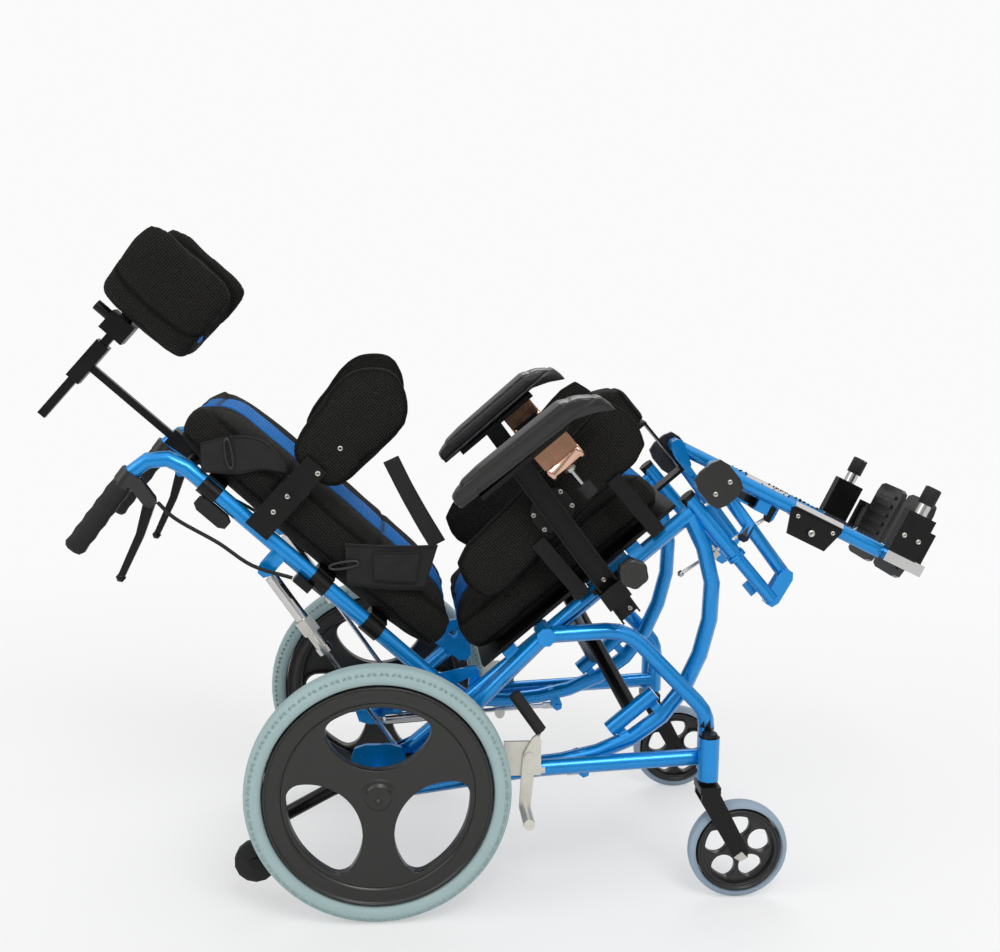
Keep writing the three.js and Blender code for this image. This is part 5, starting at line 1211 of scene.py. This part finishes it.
# Each node's axes, its main finish and the regions of it that have another.
DRESS: dict[str, tuple[Plane, str, tuple[Region, ...]]] = {
    "base_frame": (GROUND, "frame_blue", (
        Region("black_metal", (480, 205, 256.5), (540, 250, 280)),
        Region("cream_zinc", (185, 207.2, 195), (262, 235, 265)),
        Region("black_metal", (-FAR, 0, 0), (-43, FAR, 214)))),
    "caster_fork": (GROUND, "black_metal", (Region("zinc", (554, 244, 60), (574, FAR, 98)),)),
    "anti_tip_wheel": (GROUND, "rubber", ()),
    "parking_brake": (GROUND, "cream_zinc", (Region("rubber", (-FAR, 0, 272), (FAR, FAR, FAR)),)),
    "tilt_cylinder": (GROUND, "chrome", ()),
    "tilt_rod": (GROUND, "chrome", ()),
    "recline_cylinder": (BACK, "chrome", (Region("zinc", (-FAR, 0, 190), (FAR, FAR, 236)),)),
    "recline_rod": (BACK, "chrome", ()),
    "seat_frame": (SEAT, "frame_blue", (
        Region("black_metal", (60, 205, -40), (200, FAR, 60)),
        Region("black_metal", (-FAR, 0, -FAR), (-288, FAR, 40)),
        Region("black_metal", (-60, 0, -FAR), (100, 146, -186)),
        Region("black_metal", (-18, 171, -20), (18, 180, 20)),
        Region("black_metal", (286, 0, 6), (330, FAR, 40)))),
    "cross_brace": (SEAT, "black_metal", ()),
    "seat_board": (SEAT, "black_metal", ()),
    "arm_post": (SEAT, "black_metal", (
        Region("rubber", (178, 228, 130), (208, FAR, 154.5)),
        Region("chrome", (186, 236, 154.5), (200, FAR, 186)))),
    "leg_hanger": (SEAT, "frame_blue", (
        Region("wheel_plastic", (-FAR, 166, -60), (FAR, FAR, FAR)),
        Region("wheel_plastic", (318, 166, -105), (345, FAR, -80)),
        Region("zinc", (270, 0, -200), (330, 127, -160)))),
    "leg_arm": (LEG, "frame_blue", (
        Region("black_metal", (100, 154, -60), (228, FAR, 30)),
        Region("chrome", (138.5, 120, -14), (226.5, 158, 15)),
        Region("black_metal", (80, 100, -60), (122, 135, -12)))),
    "leg_slide": (LEG, "chrome", (
        Region("chrome", (300, 0, -FAR), (FAR, FAR, 9.7)),
        Region("black_metal", (302, 148, -30), (354, FAR, 80.5)),
        Region("rubber", (300, 148, 117), (356, FAR, 140)),
        Region("black_metal", (354, 0, -60), (FAR, FAR, 90)))),
    "support_rod": (LEG, "zinc", ()),
    "foot_plate": (LEG, "wheel_plastic", ()),
    "hand_grip": (BACK, "rubber", (Region("wheel_plastic", (-80, 0, 0), (FAR, FAR, FAR)),)),
    "release_lever": (BACK, "black_metal", ()),
    "head_stalk": (BACK, "black_metal", ()),
    "head_bar": (BACK, "black_metal", ()),
    "back_frame": (BACK, "frame_blue", (
        *(Region("black_metal", (-17, 0, b - 17), (20, 176, b + 17)) for b in (467, 250, 143)),
        Region("black_metal", (-17, 0, 500), (12, 145, 572)),
        Region("black_metal", (13.5, 165, 348), (FAR, FAR, 400)),
        Region("rubber", (-60, 150, 400), (-12, 172, 488)),
        Region("black_metal", (-24, 160, 254), (-6, 190, 286)))),
}


def dress_nodes() -> None:
    """Gives every carried node its finishes and shades its flat facets smooth."""
    soft = smoothing_group(50)
    for name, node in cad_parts.items():
        stem = name.removesuffix("_right").removesuffix("_left")
        if stem not in DRESS:
            continue
        plane, finish, regions = DRESS[stem]
        inverse = plane.matrix().inverted()
        mesh = node.data
        names = list(dict.fromkeys([finish, *(r.finish for r in regions)]))
        mesh.materials.clear()
        for label in names:
            mesh.materials.append(MATERIALS[label])
        for face in mesh.polygons:
            spot = (inverse @ face.center) / MM
            hit = next((r.finish for r in regions if r.holds(spot)), finish)
            face.material_index = names.index(hit)
        node.modifiers.new("smooth", "NODES").node_group = soft
        LOG.info("%s: %d finishes", name, len(names))


@dataclass(frozen=True)
class Bolt:
    """A domed screw with a six-sided socket, on the outer side of a plane, in millimetres."""

    plane: Plane
    along: float
    up: float
    seat_y: float
    radius: float = 5.0
    high: float = 3.2

    def mesh(self) -> bpy.types.Mesh:
        """The screw's head, facing outward on the right side of the chair."""
        r, h = self.radius, self.high
        outline = [(r * 0.45, -0.4 * h), (r * 0.45, -h), (r * 0.7, -h * 0.97), (r * 0.92, -h * 0.6),
                   (r, -h * 0.15), (r, 0), (AXIS, 0), (AXIS, -0.4 * h)]
        mesh = spun(outline, 24)
        mesh.transform(self.plane.to(self.along, -self.seat_y, self.up))
        return mesh


# Each group's name, the body that carries it and its screws.
BOLTS: dict[str, tuple[str, tuple[Bolt, ...]]] = {
    "arm_bolts": ("arm_{}", tuple(Bolt(SEAT, s, n, y, r) for s, n, y, r in (
        (124.6, 14.6, 217, 4.5), (127.6, -46, 217, 4.5)))),
    "hip_screws": ("seat", tuple(Bolt(SEAT, s, n, 204.1, 4.2, 2.8) for s, n in (
        (106.5, 158), (105.3, 130.4), (160.5, 159.5), (160.3, 131.5)))),
    "guard_bolts": ("hanger_{}", (Bolt(SEAT, 370, -8, 176, 4.4, 2.8), Bolt(SEAT, 341, -8, 176, 4.4, 2.8))),
    "bracket_bolts": ("back", tuple(Bolt(BACK, m, b, y, 4.5) for m, b, y in (
        (40, 375, 177), (72, 375, 177), (130, 365, 190), (180, 365, 185)))),
    "leg_bolts": ("leg_{}", (Bolt(LEG, 180, -23, 162, 6), Bolt(LEG, 148, -8, 159, 4),
                             Bolt(LEG, 212, -8, 159, 4))),
    "slide_bolts": ("leg_slide_{}", (Bolt(LEG, 314, 40, 170, 4.5), Bolt(LEG, 340, 40, 170, 4.5))),
}


def make_bolts() -> None:
    """Every screw head, joined into one piece for each group and side."""
    for stem, (body, bolts) in BOLTS.items():
        for name, made in both_sides(joined([b.mesh() for b in bolts])):
            ride_on(linked(f"{stem}_{name}", made, "zinc"), body.format(name), "zinc")


@dataclass(frozen=True)
class Studio:
    """The camera, the lamps and the pale surroundings."""

    place: tuple[float, float, float] = (-0.1788, -2.1292, 0.9791)
    yaw: float = 5.24
    pitch: float = 9.04
    roll: float = 0.65
    focal: float = 1306.3
    width: float = 1000.0
    sensor: float = 36.0
    white: float = 0.96
    light: float = 0.62
    low_sky: tuple[float, float] = (-0.1, 0.25)
    high_sky: tuple[float, float] = (0.75, 1.1)
    floor_half: float = 12.0
    floor_fade: tuple[float, float] = (0.5, 2.6)
    lamp_set: tuple[tuple[str, tuple[float, float, float], float, float], ...] = (
        ("key", (0.6, -2.6, 3.2), 1.6, 52),
        ("fill", (-2.8, -1.4, 2.2), 2.0, 20),
        ("rear", (0.8, 2.6, 2.8), 2.4, 30))

    def camera(self) -> None:
        """The camera at the photograph's place."""
        data = bpy.data.cameras.new("camera")
        data.sensor_width = self.sensor
        data.sensor_fit = "HORIZONTAL"
        data.lens = self.focal / self.width * self.sensor
        data.clip_end = 50
        camera = bpy.data.objects.new("camera", data)
        turn = (Matrix.Rotation(-math.radians(self.yaw), 4, "Z")
                @ Matrix.Rotation(math.radians(90 - self.pitch), 4, "X")
                @ Matrix.Rotation(math.radians(self.roll), 4, "Z"))
        camera.matrix_world = Matrix.Translation(self.place) @ turn
        bpy.context.scene.collection.objects.link(camera)
        bpy.context.scene.camera = camera

    def lamps(self) -> None:
        """Large soft lamps above and at both sides, turned to the chair's middle."""
        middle = Vector((0, 0, 0.4))
        for name, spot, size, power in self.lamp_set:
            data = bpy.data.lights.new(name, "AREA")
            data.size = size
            data.energy = power
            lamp = bpy.data.objects.new(name, data)
            lamp.location = spot
            lamp.rotation_euler = (middle - Vector(spot)).to_track_quat("-Z", "Y").to_euler()
            bpy.context.scene.collection.objects.link(lamp)

    def world(self) -> None:
        """An even pale light, seen as white by the camera and as a sky, brighter above, in reflections."""
        world = bpy.data.worlds.new("world")
        bpy.context.scene.world = world
        world.use_nodes = True
        world.node_tree.nodes.clear()
        tree = Tree(world.node_tree)
        path = tree.add("ShaderNodeLightPath")
        seen = tree.maths("MAXIMUM", path.outputs["Is Camera Ray"],
                          tree.maths("MAXIMUM", path.outputs["Is Glossy Ray"],
                                     path.outputs["Is Transmission Ray"]))
        way = tree.add("ShaderNodeSeparateXYZ", {0: tree.add("ShaderNodeTexCoord").outputs["Generated"]})
        sky = tree.add("ShaderNodeMapRange", {"Value": way.outputs["Z"],
                                              "From Min": self.low_sky[0], "To Min": self.low_sky[1],
                                              "From Max": self.high_sky[0], "To Max": self.high_sky[1]},
                       interpolation_type="SMOOTHSTEP").outputs[0]
        plain = tree.maths("MULTIPLY_ADD", seen, self.white - self.light, self.light)
        shown = tree.maths("MULTIPLY", path.outputs["Is Glossy Ray"], tree.maths("SUBTRACT", sky, plain))
        level = tree.maths("ADD", plain, shown)
        light = tree.add("ShaderNodeBackground", {"Color": (1.0, 1.0, 1.0, 1.0), "Strength": level})
        tree.add("ShaderNodeOutputWorld", {"Surface": light.outputs[0]})

    def floor(self) -> None:
        """A pale floor that takes the chair's soft shadow."""
        maker = bmesh.new()
        bmesh.ops.create_grid(maker, x_segments=2, y_segments=2, size=self.floor_half)
        mesh = bpy.data.meshes.new("floor")
        maker.to_mesh(mesh)
        maker.free()
        material = bpy.data.materials.new("floor")
        material.use_nodes = True
        material.node_tree.nodes.clear()
        tree = Tree(material.node_tree)
        matt = tree.add("ShaderNodeBsdfDiffuse", {"Color": (0.93, 0.93, 0.93, 1.0)})
        glow = tree.add("ShaderNodeEmission", {"Color": (1.0, 1.0, 1.0, 1.0), "Strength": self.white})
        path = tree.add("ShaderNodeLightPath")
        place = tree.add("ShaderNodeTexCoord").outputs["Object"]
        away = tree.add("ShaderNodeVectorMath", {0: place}, operation="LENGTH").outputs["Value"]
        near, far = self.floor_fade
        plain = tree.add("ShaderNodeMapRange", {"Value": away, "From Min": near, "From Max": far,
                                                "To Min": 0.45, "To Max": 1.0},
                         interpolation_type="SMOOTHSTEP").outputs[0]
        share = tree.maths("MULTIPLY", path.outputs["Is Camera Ray"], plain)
        mix = tree.add("ShaderNodeMixShader", {0: share, 1: matt.outputs[0], 2: glow.outputs[0]})
        tree.add("ShaderNodeOutputMaterial", {"Surface": mix.outputs[0]})
        mesh.materials.append(material)
        floor = bpy.data.objects.new("floor", mesh)
        floor.location.z = -0.0005
        bpy.context.scene.collection.objects.link(floor)

    def build(self) -> None:
        """Everything that isn't part of the chair."""
        self.camera()
        self.lamps()
        self.world()
        self.floor()
        bpy.context.scene.view_settings.view_transform = "Standard"


def main() -> None:
    """Builds the studio, the cables, the finishes and then every piece."""
    logging.basicConfig(level=logging.INFO, format="%(message)s")
    make_materials()
    Studio().build()
    for name, side in SIDES.items():
        ReleaseCable().build(name, side)
    dress_nodes()
    make_wheels()
    Pads.build()
    make_straps()
    ArmClamp().build()
    make_hip_brackets()
    make_stub_caps()
    LobedKnob("arm_knob", "seat", along=165, up=4, inner=242.5, outer=266).build()
    make_bolts()


if __name__ == "__main__":
    main()
